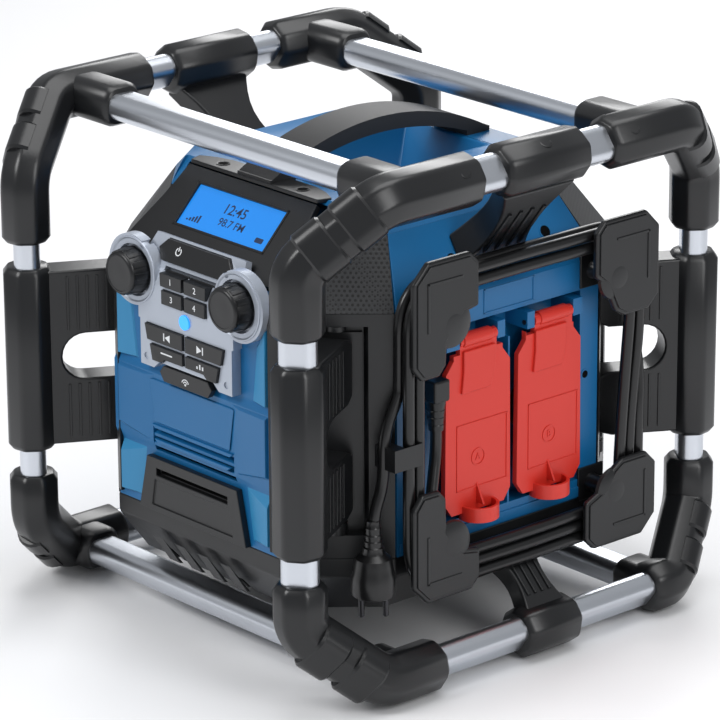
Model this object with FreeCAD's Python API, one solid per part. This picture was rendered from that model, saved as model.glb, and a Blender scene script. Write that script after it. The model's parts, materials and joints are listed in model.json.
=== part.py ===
import FreeCAD, Part
import os, math
os.makedirs("parts", exist_ok=True)
V = FreeCAD.Vector

# ---------------------------------------------------------------- sizes (mm)
# frame: +Z up, controls face -Y, power outlets face +X, origin bottom centre
XW, XV, YV = 198.0, 166.0, 211.0        # outer rails x, uprights x, uprights y
ZB, ZT = 22.0, 408.0                    # lower / upper rail height
RC = 20.5                               # corner moulding radius
TW, TT, TR = 29.6, 21.4, 9.0            # rail section wide, thin, corner radius
TWALL = 2.0
ZL0, ZL1 = 70.0, 360.0                  # upright bends
YB = 157.0                              # rail bends
SOCK_T, SOCK_B = 306.0, 109.0           # inner ends of the upright sockets
BR0, BR1 = 131.0, 285.0                 # upright bracket sleeve
YTF, YTR = -64.0, 74.0                  # top rail sockets end (front, rear)
YBF, YBR = -101.0, 128.0                # bottom rail sockets end
CT0, CT1 = -39.0, 47.0                  # top middle clamp
CB0, CB1 = -14.0, 43.0                  # bottom middle clamp
X1T, X1B = 138.0, 165.0                 # cross rail sockets end
KX, KZ = 63.0, 299.6                    # knob axes
YX = {"ft": -131.0, "rt": 118.0, "fb": -142.0, "rb": 142.0}

# body
HX, YF, YR = 160.0, -175.0, 178.0       # half width, front, rear
CX, CYF, CYR = 100.0, -108.0, 112.0     # chamfer corners
Z0, ZS, ZU, ZTOP = 50.0, 100.0, 300.0, 352.0
ZC = 372.0                              # cover height
W = 4.0                                 # wall

OUT = {}
def put(name, shape):
    OUT[name] = shape

def placed(shape, o, x, z):
    x = V(*x).normalize(); z = V(*z).normalize(); y = z.cross(x).normalize(); x = y.cross(z)
    m = FreeCAD.Matrix(x.x, y.x, z.x, o[0], x.y, y.y, z.y, o[1], x.z, y.z, z.z, o[2], 0, 0, 0, 1)
    return shape.transformGeometry(m) if False else _mv(shape, m)
def _mv(shape, m):
    s = shape.copy(); s.Placement = FreeCAD.Placement(m).multiply(s.Placement); return s

def rbar(w, t, L, r):
    b = Part.makeBox(w, t, L, V(-w/2, -t/2, 0))
    if r > 0:
        es = [e for e in b.Edges if abs(e.Vertexes[0].Z - e.Vertexes[1].Z) > L*0.9]
        b = b.makeFillet(r, es)
    return b

def bar(p0, p1, xd, w, t, r):
    d = V(*p1) - V(*p0)
    return placed(rbar(w, t, d.Length, r), p0, xd, (d.x, d.y, d.z))

def cyl(p0, p1, r):
    d = V(*p1) - V(*p0)
    return Part.makeCylinder(r, d.Length, V(*p0), d)

def cone(p0, p1, r0, r1):
    d = V(*p1) - V(*p0)
    return Part.makeCone(r0, r1, d.Length, V(*p0), d)

def box(x0, x1, y0, y1, z0, z1):
    return Part.makeBox(x1-x0, y1-y0, z1-z0, V(x0, y0, z0))

def fuse(L):
    s = L[0].multiFuse(L[1:]) if len(L) > 1 else L[0]
    return s.removeSplitter()

def group(L):
    return Part.makeCompound(L)

def polyx(pts, x0, x1):               # pts (y,z) extruded along X
    w = Part.makePolygon([V(x0, y, z) for y, z in pts] + [V(x0, pts[0][0], pts[0][1])])
    return Part.Face(w).extrude(V(x1-x0, 0, 0))
def polyy(pts, y0, y1):               # pts (x,z) extruded along Y
    w = Part.makePolygon([V(x, y0, z) for x, z in pts] + [V(pts[0][0], y0, pts[0][1])])
    return Part.Face(w).extrude(V(0, y1-y0, 0))
def polyz(pts, z0, z1):
    w = Part.makePolygon([V(x, y, z0) for x, y in pts] + [V(pts[0][0], pts[0][1], z0)])
    return Part.Face(w).extrude(V(0, 0, z1-z0))

def hull8(a, b):
    """solid between the quads a and b (4 points each, same order)"""
    P = [V(*p) for p in a + b]
    idx = [(0,1,2),(0,2,3),(4,6,5),(4,7,6)]
    for i in range(4):
        j = (i+1) % 4
        idx += [(i, i+4, j+4), (i, j+4, j)]
    fs = [Part.Face(Part.makePolygon([P[i], P[j], P[k], P[i]])) for i, j, k in idx]
    s = Part.Solid(Part.Shell(fs))
    if s.Volume < 0:
        s.reverse()
    return s

# ---------------------------------------------------------------- roll cage
s2 = math.sqrt(0.5)
def corner(sx, sy, top):
    zr = ZT if top else ZB
    zb = ZL1 if top else ZL0
    ze = SOCK_T if top else SOCK_B
    yb = sy*YB
    ye = {(-1, 1): YTF, (1, 1): YTR, (-1, 0): YBF, (1, 0): YBR}[(sy, 1 if top else 0)]
    yx = YX[("f" if sy < 0 else "r") + ("t" if top else "b")]
    xe = X1T if top else X1B
    ch = 3.5
    dz = 1 if top else -1
    a = (sx*XV, sy*YV, ze); b = (sx*XV, sy*YV, zb); c = (sx*XW, yb, zr); d = (sx*XW, ye, zr)
    L = [cyl((a[0], a[1], ze + dz*ch), b, RC), cone(a, (a[0], a[1], ze + dz*ch), RC-3.0, RC),
         Part.makeSphere(RC, V(*b)), cyl(b, c, RC), Part.makeSphere(RC, V(*c)),
         cyl(c, (c[0], ye + sy*ch, zr), RC), cone((c[0], ye + sy*ch, zr), d, RC, RC-3.0)]
    m0 = V(*b) + (V(*c) - V(*b))*0.20; m1 = V(*b) + (V(*c) - V(*b))*0.45
    n0 = V(*b) + (V(*c) - V(*b))*0.55; n1 = V(*b) + (V(*c) - V(*b))*0.80
    for u, v in ((m0, m1), (n0, n1)):
        L.append(cyl(tuple(u), tuple(v), RC+1.5))
    e = (sx*xe, yx, zr)
    if not top:                        # flat foot under the moulding
        ya, yc_ = sorted((yb + sy*2, ye + sy*6))
        L.append(box(sx*XW-9, sx*XW+9, ya, yc_, 0.0, 8.0))
    L += [cyl((sx*XW, yx, zr), (sx*(xe+ch), yx, zr), 19.0), cone((sx*(xe+ch), yx, zr), e, 19.0, 16.5)]
    s = L[0]
    for k in L[1:]:
        s = s.fuse(k)
    s = s.removeSplitter()
    # sockets for the three rails
    n = 26.0
    s = s.cut(bar(a, (a[0], a[1], ze + dz*n), (sx*0.77, -sy*-0.64, 0) if False else upright_dir(sx, sy), TW, TT, TR))
    s = s.cut(bar(d, (d[0], ye + sy*n, zr), rail_dir(sx, top), TW, TT, TR) if abs(ye-yb) > n + 2 else bar(d, (d[0], ye + sy*20.0, zr), rail_dir(sx, top), TW, TT, TR))
    s = s.cut(bar(e, (sx*(xe + (n if top else 16.0)), yx, zr), (0, 1, 0), TW, TT, TR))
    return s
def upright_dir(sx, sy):
    # wide side of the upright's section, square to its outward diagonal
    return (-sy*s2*sx, s2, 0) if False else (sx*0.80, -sy*0.60, 0) if False else (0.80, -sx*sy*0.60, 0)
def rail_dir(sx, top):
    # wide side of a side rail's section
    k = 1 if top else -1
    return (-sx*k*0.60, 0, 0.80)

def tubes(L):
    out = []
    for p0, p1, xd in L:
        s = bar(p0, p1, xd, TW, TT, TR).cut(bar(p0, p1, xd, TW-2*TWALL, TT-2*TWALL, TR-TWALL))
        out.append(s)
    return out

N = 26.0
up, side, cross = [], [], []
for sx in (-1, 1):
    for sy in (-1, 1):
        up.append(((sx*XV, sy*YV, SOCK_B-N), (sx*XV, sy*YV, SOCK_T+N), upright_dir(sx, sy)))
    side.append(((sx*XW, YTF-N, ZT), (sx*XW, YTR+N, ZT), rail_dir(sx, True)))
    side.append(((sx*XW, YBF-N, ZB), (sx*XW, YBR+20.0, ZB), rail_dir(sx, False)))
for k in ("ft", "rt"):
    cross.append(((-X1T-N, YX[k], ZT), (X1T+N, YX[k], ZT), (0, 1, 0)))
for k in ("fb", "rb"):
    cross.append(((-X1B-16.0, YX[k], ZB), (X1B+16.0, YX[k], ZB), (0, 1, 0)))
put("upright_tubes", group(tubes(up)))
put("side_rail_tubes", group(tubes(side)))
put("cross_rail_tubes", group(tubes(cross)))
NM = {(-1,-1): "front_left", (1,-1): "front_right", (-1,1): "rear_left", (1,1): "rear_right"}
for (sx, sy), nm in NM.items():
    put("corner_top_"+nm, corner(sx, sy, True))
    put("corner_bottom_"+nm, corner(sx, sy, False))

# upright brackets: a sleeve on the upright with two arms to the body's corner panel
def up_bracket(sx, sy):
    p = (sx*XV, sy*YV)
    s = cyl((p[0], p[1], BR0+4), (p[0], p[1], BR1-4), RC)
    s = s.fuse(cone((p[0], p[1], BR1-4), (p[0], p[1], BR1), RC, RC-3.5)).fuse(cone((p[0], p[1], BR0+4), (p[0], p[1], BR0), RC, RC-3.5))
    # direction to the corner panel (normal to the body's chamfer)
    if sy < 0: c0, c1 = V(CX, YF, 0), V(HX, CYF, 0)
    else: c0, c1 = V(CX, YR, 0), V(HX, CYR, 0)
    mid = (c0 + c1)*0.5; t = (c1 - c0).normalize()
    mid.x *= sx; t.x *= sx
    nrm = V(sx*abs(t.y), sy*abs(t.x), 0).normalize()
    pp = V(p[0], p[1], 0)
    q = mid - nrm*8.0                      # arms stop 8 mm inside the panel's pocket
    for z0, z1 in ((133.0, 190.0), (228.0, 283.0)):
        d = q - pp
        a = bar((pp.x, pp.y, z0), (q.x, q.y, z0), (0, 0, 1), 1, 1, 0) if False else None
        ax = d.normalize()
        y = V(-ax.y, ax.x, 0)
        L = (q - pp).Length
        pts = [(pp + y*11), (q + y*15), (q - y*15), (pp - y*11)]
        s = s.fuse(polyz([(v.x, v.y) for v in pts], z0, z1))
        for k in (-8.0, 0.0, 8.0):        # ribs on both sides of the arm
            pass
    # lightening grooves along the arms
    s = s.removeSplitter()
    s = s.cut(bar((p[0], p[1], BR0-1), (p[0], p[1], BR1+1), upright_dir(sx, sy), TW, TT, TR))
    return s
for (sx, sy), nm in NM.items():
    put("upright_bracket_"+nm, up_bracket(sx, sy))

# middle clamps on the side rails with a broad arm to the body
def mid_clamp(sx, top):
    zr = ZT if top else ZB
    y0, y1 = (CT0, CT1) if top else (CB0, CB1)
    s = cyl((sx*XW, y0+3.5, zr), (sx*XW, y1-3.5, zr), RC)
    s = s.fuse(cone((sx*XW, y1-3.5, zr), (sx*XW, y1, zr), RC, RC-3)).fuse(cone((sx*XW, y0+3.5, zr), (sx*XW, y0, zr), RC, RC-3))
    if top:
        ya, yb_ = CT0+6, CT1-6
        x_in, z_in = 139.0, 338.0
        pts = [(sx*(XW-8), zr-12), (sx*(XW+2), zr-17), (sx*(x_in+19.0), z_in-8.0), (sx*(x_in+3.5), z_in+3.0)]
    else:
        ya, yb_ = CB0+6, CB1-6
        pts = [(sx*(XW-8), zr+14), (sx*(XW+10), zr+12), (sx*164.0, 60.0), (sx*160.0, 46.0)]
    s = s.fuse(polyy(pts, ya, yb_)).removeSplitter()
    s = s.cut(bar((sx*XW, y0-1, zr), (sx*XW, y1+1, zr), rail_dir(sx, top), TW, TT, TR))
    return s
put("rail_clamp_top_right", mid_clamp(1, True))
put("rail_clamp_top_left", mid_clamp(-1, True))
put("rail_clamp_bottom_right", mid_clamp(1, False))
put("rail_clamp_bottom_left", mid_clamp(-1, False))

# ---------------------------------------------------------------- body
def octa(g=0.0, hx=HX, yf=YF, yr=YR, cx=CX, cf=CYF, cr=CYR):
    k = g*0.42
    return [(cx-k, yf+g), (hx-g, cf+k), (hx-g, cr-k), (cx-k, yr-g), (-cx+k, yr-g), (-hx+g, cr-k), (-hx+g, cf+k), (-cx+k, yf+g)]
def loft(pa, za, pb, zb):
    wa = Part.makePolygon([V(x, y, za) for x, y in pa] + [V(pa[0][0], pa[0][1], za)])
    wb = Part.makePolygon([V(x, y, zb) for x, y in pb] + [V(pb[0][0], pb[0][1], zb)])
    return Part.makeLoft([wa, wb], True, True)

# base tub: the part below the blue shells, lower edge drawn in
tub = loft(octa(22), Z0, octa(0), Z0+34).fuse(polyz(octa(0), Z0+34, ZS))
tub = tub.cut(loft(octa(26), Z0+4, octa(4), Z0+36).fuse(polyz(octa(4), Z0+36, ZS+1))).removeSplitter()
# three slanted drain notches in the front lower edge
for xx in (-52, -8, 36):
    tub = tub.cut(polyy([(xx, Z0-1), (xx+7, Z0-1), (xx-1, Z0+9), (xx-5, Z0+9)], YF-2, YF+26))
put("base_tub", tub)

# four corner panels (lower chamfers) with a pocket for the bracket arms
def corner_panel(sx, sy):
    y0, yc = (YF, CYF) if sy < 0 else (YR, CYR)
    a = V(sx*CX, y0, 0); b = V(sx*HX, yc, 0)
    t = (b - a).normalize(); n = V(-t.y, t.x, 0)
    if n.dot(V(sx, sy, 0)) < 0: n = n*-1
    L = (b - a).Length
    def P(u, d): 
        q = a + t*u + n*d; return (q.x, q.y)
    s = polyz([P(0, 0), P(L, 0), P(L-2.0, -W), P(2.0, -W)], ZS, ZU)
    u0, u1 = L/2-25, L/2+25
    m = 3.0
    s = s.fuse(polyz([P(u0-m, -1), P(u1+m, -1), P(u1+m, -14), P(u0-m, -14)], 116, 293))
    s = s.cut(polyz([P(u0, 1), P(u1, 1), P(u1-4, -11), P(u0+4, -11)], 119, 290))
    # round bosses above and below the arms
    for z0, z1 in ((119, 129), (286, 290)):
        q = a + t*(L/2) + n*(-6.0)
        s = s.fuse(Part.makeCylinder(8.0, z1-z0, V(q.x, q.y, z0)))
    # pad the bracket arms stand on
    s = s.fuse(polyz([P(u0+5, -8.0), P(u1-5, -8.0), P(u1-5, -12), P(u0+5, -12)], 133, 283))
    return s.removeSplitter()
put("corner_panels", group([corner_panel(sx, sy) for sx, sy in NM]))

# upper corner speaker grilles (perforated sheet carriers), 3 mm thick
TX, TYF, TYR, TCX, TCF, TCR = 128.0, -128.0, 140.0, 84.0, -86.0, 92.0
def grille(sx, sy):
    y0, yc = (YF, CYF) if sy < 0 else (YR, CYR)
    ty, tc = (TYF, TCF) if sy < 0 else (TYR, TCR)
    A = V(sx*CX, y0, ZU); B = V(sx*HX, yc, ZU); C = V(sx*TX, tc, ZTOP); D = V(sx*TCX, ty, ZTOP)
    n = (B-A).cross(D-A).normalize()
    if n.dot(V(sx, sy, 0.5)) < 0: n = n*-1
    i = n*-3.0
    ce = (A+B+C+D)*0.25
    def sh(p, k): 
        q = p + (ce-p)*k; return (q.x, q.y, q.z)
    o = [sh(p, 0.012) for p in (A, B, C, D)]
    ii = [sh(p + i, 0.012) for p in (A, B, C, D)]
    return hull8(o, ii)
put("speaker_grilles", group([grille(sx, sy) for sx, sy in NM]))

# side panels: upright wall, sloped shoulder
def side_panel(sx):
    g = 0.4
    pts = [(sx*HX, ZS), (sx*HX, ZU), (sx*TX, ZTOP), (sx*(TX-5), ZTOP-3), (sx*(HX-W), ZU-2), (sx*(HX-W), ZS)]
    s = polyy(pts, CYF+2, CYR-2)
    # trim the shoulder to the slanted grille edges
    for y0, y1, sgn in ((CYF+2, TCF, -1), (CYR-2, TCR, 1)):
        w = [(sx*(HX+5), y0 - 0), (sx*(HX+5), y0)]
        tri = Part.makePolygon([V(0, y0, ZU-1), V(0, y0, ZTOP+5), V(0, y1 + sgn*0 , ZTOP+5), V(0, y0, ZU-1)]) if False else None
        q = Part.Face(Part.makePolygon([V(0, y0+sgn*6, ZU), V(0, y0, ZU), V(0, y1, ZTOP), V(0, y1, ZTOP+6), V(0, y0+sgn*6, ZTOP+6), V(0, y0+sgn*6, ZU)])).extrude(V(sx*200, 0, 0))
        s = s.cut(q)
    return s
LY0, LY1, LZ0, LZ1 = -66.0, 90.0, 116.0, 276.0     # outlet well
sr = side_panel(1)
sr = sr.cut(box(150, 170, LY0, LY1, LZ0, LZ1))
# well around the outlets
well = box(138, HX, LY0-3, LY1+3, LZ0-3, LZ1+3).cut(box(141, HX+1, LY0, LY1, LZ0, LZ1))
well = well.fuse(box(141, HX, 11.5, 13.5, LZ0, 255))
for yc in (-26.0, 51.0):
    well = well.cut(cyl((136, yc, 186), (142, yc, 186), 21.0))
sr = sr.fuse(well).removeSplitter()
# hinge knuckle blocks at the top of the well: axis along Y
HZ, HXX = 264.0, 163.0
PINR = 2.0
for y0, y1 in ((-60, -46), (-6, 2), (26, 34), (76, 86)):
    k = box(141, HXX+3.5, y0, y1, HZ-5, HZ+9)
    sr = sr.fuse(k)
for y0, y1 in ((-61, 3), (25, 87)):
    sr = sr.cut(cyl((HXX, y0, HZ), (HXX, y1, HZ), PINR))
sr = sr.removeSplitter()
put("side_panel_right", sr)
put("side_panel_left", side_panel(-1))

# rear panel with a compartment opening
pts = [(YR, ZS), (YR, ZU), (TYR, ZTOP), (TYR-5, ZTOP-3), (YR-W, ZU-2), (YR-W, ZS)]
rp = polyx(pts, -CX+2, CX-2)
for sgn in (-1, 1):
    q = Part.Face(Part.makePolygon([V(sgn*(CX+4), 0, ZU), V(sgn*(CX-2), 0, ZU), V(sgn*TCX, 0, ZTOP), V(sgn*TCX, 0, ZTOP+6), V(sgn*(CX+4), 0, ZTOP+6), V(sgn*(CX+4), 0, ZU)])).extrude(V(0, 260, 0))
    rp = rp.cut(q)
DX, DZ0, DZ1 = 78.0, 110.0, 250.0
rp = rp.cut(box(-DX, DX, YR-W-1, YR+1, DZ0, DZ1))
# compartment box behind the opening
cb = box(-DX-3, DX+3, YR-78, YR-W+0.0, DZ0-3, DZ1+3).cut(box(-DX, DX, YR-75, YR+1, DZ0, DZ1))
rp = rp.fuse(cb).removeSplitter()
DHZ, DHY = DZ0+3.5, YR-3.5
for x0, x1 in ((-60, -46), (46, 60)):
    rp = rp.fuse(box(x0, x1, DHY-8, DHY+3.0, DZ0-1, DZ0+6.5))
for x0, x1 in ((-61, -31), (31, 61)):
    rp = rp.cut(cyl((x0, DHY, DHZ), (x1, DHY, DHZ), 1.5))
put("rear_panel", rp.removeSplitter())

# front shell: upright wall with a step, the bass slot, and a window for the keys
pts = [(YF, ZS), (YF, 150), (YF-3, 158), (YF-3, 216), (YF, 222), (YF, ZU), (YF+5.5, 312), (YF+9.5, 312), (YF+4, ZU), (YF+4, ZS)]
fs = polyx(pts, -CX+2, CX-2)
SLX, SLZ0, SLZ1 = 50.0, 150.0, 171.0
fs = fs.cut(box(-SLX, SLX, YF-10, YF+5, SLZ0, SLZ1))
for zz in (154.5, 162.5):
    fs = fs.fuse(polyx([(YF-2, zz), (YF-2, zz+2.5), (YF+4, zz+5.5), (YF+4, zz+3)], -SLX-0.5, SLX+0.5))
fs = fs.removeSplitter()
fs = fs.cut(box(-51, 51, YF-10, YF+6, 229, 314))
fs = fs.cut(box(-20.5, 20.5, YF-10, YF+6, 218.5, 225.5))
for sx in (-1, 1):
    fs = fs.cut(cyl((sx*KX, YF-10, KZ), (sx*KX, YF+30, KZ), 9.0))
put("front_shell", fs)

# lower front trim: raised frame with a vent slot and a recessed bare plate
tr = polyy([(-55.5, 145.5), (55.5, 145.5), (66, ZS), (-66, ZS)], YF-6, YF)
tr = tr.cut(box(-44, 44, YF-8, YF-1, 131, 137)).cut(polyy([(-46, 127), (46, 127), (50, ZS+5), (-50, ZS+5)], YF-7, YF-4.5))
put("lower_trim", tr)

# display bezel: slanted plate with a window, and the window lens
SL = [(-167.0, 315.0), (-114.0, 370.0)]
dy, dz = SL[1][0]-SL[0][0], SL[1][1]-SL[0][1]
ln = math.hypot(dy, dz); ty, tz = dy/ln, dz/ln; ny, nz = -tz, ty
def S(u, d): return (SL[0][0] + ty*u + ny*d, SL[0][1] + tz*u + nz*d)
def slab(pts, d0, d1):                # pts (x,u) on the slanted plane, d along its normal
    P = [V(x, *S(u, d0)) for x, u in pts]
    q = V(0, ny, nz)*(d1-d0)
    return Part.Face(Part.makePolygon(P + [P[0]])).extrude(q)
def rect(x, u0, u1): return [(-x, u0), (x, u0), (x, u1), (-x, u1)]
bz = slab([(-97, 0), (97, 0), (82, 50), (77, ln), (-77, ln), (-82, 50)], 0, -6)
bz = bz.cut(slab(rect(53, 26, 63), 1, -3)).cut(slab(rect(50, 28.5, 60.5), 1, -9))
put("display_bezel", bz)
put("display_window", slab(rect(53, 26, 63), -1.5, -3))
put("display_module", slab(rect(54, 25, 64), -6, -13))

# control fascia: silver plate, upper part leaning back, ears round the knobs
PY0, PY1 = YF-9.0, YF
prof = [(PY0, 224), (PY0, 296), (-166, 330), (-160.5, 328), (PY1, 300), (PY1, 224)]
out = polyy([(-53, 332), (53, 332), (58, 318), (58, 262), (56, 262), (56, 224), (40, 224), (33, 230), (-33, 230), (-40, 224), (-56, 224), (-56, 262), (-58, 262), (-58, 318)], -190, -150)
pan = polyx(prof, -60, 60).common(out)
for sx in (-1, 1):
    pan = pan.fuse(cyl((sx*(KX+2), PY0, KZ), (sx*(KX+2), PY1, KZ), 29.0))
pan = pan.removeSplitter()
for sx in (-1, 1):
    pan = pan.cut(cyl((sx*KX, PY0-1, KZ), (sx*KX, PY0+5, KZ), 21.5))
    pan = pan.cut(cyl((sx*KX, PY0-1, KZ), (sx*KX, PY1+1, KZ), 4.0))
    pan = pan.cut(cyl((sx*50.8, -190, 322.5), (sx*50.8, -171.0, 322.5), 3.0))
    pan = pan.cut(cyl((sx*49, PY0-1, 231.6), (sx*49, PY0+1.2, 231.6), 2.8))
pan = pan.fuse(polyx([(PY0, 284), (PY0, 296), (-178.2, 307), (-174, 307), (-174, 284)], -41.4, 41.4).common(box(-41.4, 41.4, -190, -170, 284, 307))).removeSplitter()
KEYS = {
 "key_1": [(-28, 306), (-1.6, 306), (-1.6, 295), (-27.5, 295)],
 "key_2": [(1.6, 306), (28, 306), (27.5, 295), (1.6, 295)],
 "key_3": [(-26.5, 292), (-1.6, 292), (-1.6, 280.5), (-26.5, 280.5)],
 "key_4": [(1.6, 292), (26.5, 292), (26.5, 280.5), (1.6, 280.5)],
 "key_previous": [(-48, 260), (-1.8, 260), (-1.8, 247), (-45, 247)],
 "key_next": [(1.8, 260), (48, 260), (45, 247), (1.8, 247)],
 "key_lower_left": [(-42, 244), (-1.8, 244), (-1.8, 234.5), (-24, 234.5), (-28, 231), (-39, 231)],
 "key_lower_right": [(1.8, 244), (42, 244), (39, 231), (28, 231), (24, 234.5), (1.8, 234.5)],
}
POW = [(-44, 321), (-37, 328), (37, 328), (44, 321), (37, 312.5), (-37, 312.5)]
def grow(pts, g):
    w = Part.makePolygon([V(x, 0, z) for x, z in pts] + [V(pts[0][0], 0, pts[0][1])])
    o = w.makeOffset2D(g, 2)
    return [(v.Point.x, v.Point.z) for v in o.OrderedVertexes]
pocket = box(-50, 50, PY1-4.0, PY1+1, 229.8, 264)
pan = pan.cut(box(-49.6, 49.6, PY1-4.0, PY1+1, 230.2, 263)).cut(box(-31, 31, PY1-4.0, PY1+2, 278, 309))
for k, p in KEYS.items():
    pan = pan.cut(polyy(grow(p, 0.4), PY0-1, PY1-3))
pan = pan.cut(cyl((0, PY0-1, 271), (0, PY1+1, 271), 6.0))
for k, p in KEYS.items():
    s = polyy(p, PY0-2.5, PY1-2.4)
    fl = polyy(grow(p, 0.75), PY1-3.6, PY1-2.4)
    put(k, s.fuse(fl).removeSplitter())
pan = pan.cut(polyy(grow(POW, 0.4), -200, -150))
s = polyx([(-184.5+6, 310), (-166-2.2, 330), (-160, 327), (-172, 306)], -60, 60) 
PP = [(-184+1.06*0-0, 296), (-166, 330)]
pv = V(0, -166+184, 330-296).normalize(); pn = V(0, -pv.z, pv.y)          # along and out of the leaning face
b0 = V(0, -184, 296) + pn*2.2; b1 = V(0, -166, 330) + pn*2.2 + pv*6
c1 = b1 - pn*6.4; c0 = b0 - pn*6.4
lean = polyx([(b0.y, b0.z), (b1.y, b1.z), (c1.y, c1.z), (c0.y, c0.z)], -60, 60)
put("key_power", lean.common(polyy(POW, -200, -150)))
put("control_panel", pan)
# pairing key sits below the fascia, on the blue shell
kp = [(-32, 222.8), (-27, 228.8), (27, 228.8), (32, 222.8), (27, 215.5), (-27, 215.5)]
put("key_pairing", polyy(kp, PY0-1.0, YF-4.4).fuse(box(-20, 20, YF-4.5, YF+6, 219, 225)).removeSplitter())
put("status_lens", cyl((0, PY0-1.5, 271), (0, PY1, 271), 6.0))
def knob(sx):
    c = (sx*KX, KZ); F = -199.5
    s = cyl((c[0], F, c[1]), (c[0], PY0+3.5, c[1]), 19.0)
    s = s.makeFillet(2.0, [e for e in s.Edges if abs(e.BoundBox.YMin-F) < 0.01 and abs(e.BoundBox.YMax-F) < 0.01])
    s = s.fuse(cyl((c[0], PY0+3.5, c[1]), (c[0], YF+14.0, c[1]), 3.9)).removeSplitter()
    for i in range(20):
        a = math.radians(18*i)
        s = s.cut(cyl((c[0]+19.6*math.cos(a), F+3.0, c[1]+19.6*math.sin(a)), (c[0]+19.6*math.cos(a), PY0+2.5, c[1]+19.6*math.sin(a)), 1.4))
    return s
put("knob_left", knob(-1)); put("knob_right", knob(1))

# board behind the keys: carries the key switches and the two rotary encoders
bd = box(-90, 90, YF+12, YF+14, 212, 316)
for sx in (-1, 1):
    bd = bd.fuse(box(sx*KX-8, sx*KX+8, YF+14, YF+22, KZ-8, KZ+8)).cut(cyl((sx*KX, YF+10, KZ), (sx*KX, YF+16.0, KZ), 3.95))
    for zz in (224, 262):
        bd = bd.fuse(cyl((sx*84, YF+4, zz), (sx*84, YF+12, zz), 4.0))
put("control_board", bd.removeSplitter())

# top cover: shallow cap with an opening for the bowl
topA = [(TCX, TYF), (TX, TCF), (TX, TCR), (TCX, TYR), (-TCX, TYR), (-TX, TCR), (-TX, TCF), (-TCX, TYF)]
topB = [(78, TYF+4), (110, TCF+6), (110, TCR-6), (74, TYR-14), (-74, TYR-14), (-110, TCR-6), (-110, TCF+6), (-78, TYF+4)]
tc = loft(topA, ZTOP, topB, ZC)
tcin = loft([(x*0.965, y*0.965) for x, y in topA], ZTOP, [(x*0.965, y*0.965) for x, y in topB], ZC-3.5)
tc = tc.cut(tcin)
tc = tc.cut(box(-52, 52, -84, 96, 340, 380))
tc = tc.cut(slab([(-90, -20), (90, -20), (90, ln+30), (-90, ln+30)], 6, -6))
for sx in (-1, 1):
    tc = tc.cut(cyl((sx*48, -103, 360), (sx*48, -103, 380), 4.0))
put("top_cover", max(tc.Solids, key=lambda q: q.Volume))

# bowl under the handle
bo = loft([(-52, -84), (52, -84), (52, 96), (-52, 96)], ZC, [(-38, -62), (38, -62), (38, 74), (-38, 74)], 326.0)
bi = loft([(-49, -81), (49, -81), (49, 93), (-49, 93)], ZC+0.01, [(-35, -59), (35, -59), (35, 71), (-35, 71)], 329.0)
put("handle_bowl", bo.cut(bi))

# carrying handle: arch along Y over the bowl
def arcface(y0, z0, ym, zm, y1, z1, y2, z2, yn, zn, y3, z3):
    a = Part.Arc(V(0, y0, z0), V(0, ym, zm), V(0, y1, z1)).toShape()
    b = Part.makeLine(V(0, y1, z1), V(0, y2, z2))
    c = Part.Arc(V(0, y2, z2), V(0, yn, zn), V(0, y3, z3)).toShape()
    d = Part.makeLine(V(0, y3, z3), V(0, y0, z0))
    return Part.Face(Part.Wire([a, b, c, d]))
h = arcface(-112, 375, 6, 406, 122, 375, 100, 375, 6, 393, -90, 375).extrude(V(40, 0, 0))
h.translate(V(-20, 0, 0))
h = h.fuse(box(-20, 20, -112, -86, ZC, 376)).fuse(box(-20, 20, 97, 122, ZC, 376)).removeSplitter()
put("carry_handle", h)

# ---------------------------------------------------------------- outlets, lids
oi = []
for yc in (-26.0, 50.0):
    s = box(128, 138, yc-23, yc+23, 138, 234).fuse(cyl((138, yc, 186), (150, yc, 186), 21.0))
    s = s.cut(cyl((136, yc, 186), (151, yc, 186), 18.5))
    for k in (-9.5, 9.5):
        s = s.cut(cyl((129, yc, 186+k), (137, yc, 186+k), 2.5))
    oi.append(s.removeSplitter())
put("socket_inserts", group(oi))

def lid(yc, ka, kb):
    y0, y1 = yc-36, yc+36
    pts = [(yc-26, 268.0), (yc+26, 268.0), (yc+26, 250), (y1-2, 240), (y1-1, 132), (y1-8, 122), (y0+8, 122), (y0+1, 132), (y0+2, 240), (yc-26, 250)]
    w = Part.makePolygon([V(HX+1.0, y, z) for y, z in pts] + [V(HX+1.0, pts[0][0], pts[0][1])])
    s = Part.Face(w).extrude(V(5.0, 0, 0))
    s = s.cut(box(HX, HX+9, ka[0]-0.5, ka[1]+0.5, 254, 280)).cut(box(HX, HX+9, kb[0]-0.5, kb[1]+0.5, 254, 280))
    s = s.cut(box(HX, HX+9, ka[0]-30, ka[1]+0.5, 257, 280)).cut(box(HX, HX+9, kb[0]-0.5, kb[1]+30, 257, 280))
    # barrel round the pin
    s = s.fuse(cyl((HXX, ka[1]+0.5, HZ), (HXX, kb[0]-0.5, HZ), 4.6))
    s = s.cut(cyl((HXX, ka[1]-1, HZ), (HXX, kb[0]+1, HZ), PINR+0.05))
    # lift cup at the lower edge
    c = cyl((HX+6, yc, 116), (HX+6, yc, 128), 17).cut(cyl((HX+6, yc, 118), (HX+6, yc, 129), 14.5))
    c = c.cut(box(HX-40, HX+1.0, yc-30, yc+30, 100, 140))
    s = s.fuse(c).removeSplitter()
    return s
put("outlet_lid_a", lid(-26.0, (-60, -46), (-6, 2)))
put("outlet_lid_b", lid(50.0, (14, 34), (76, 86)) if False else lid(51.0, (26, 34), (76, 86)))
put("lid_hinge_pins", group([cyl((HXX, -60.5, HZ), (HXX, 2.5, HZ), PINR), cyl((HXX, 25.5, HZ), (HXX, 86.5, HZ), PINR)]))

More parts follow.
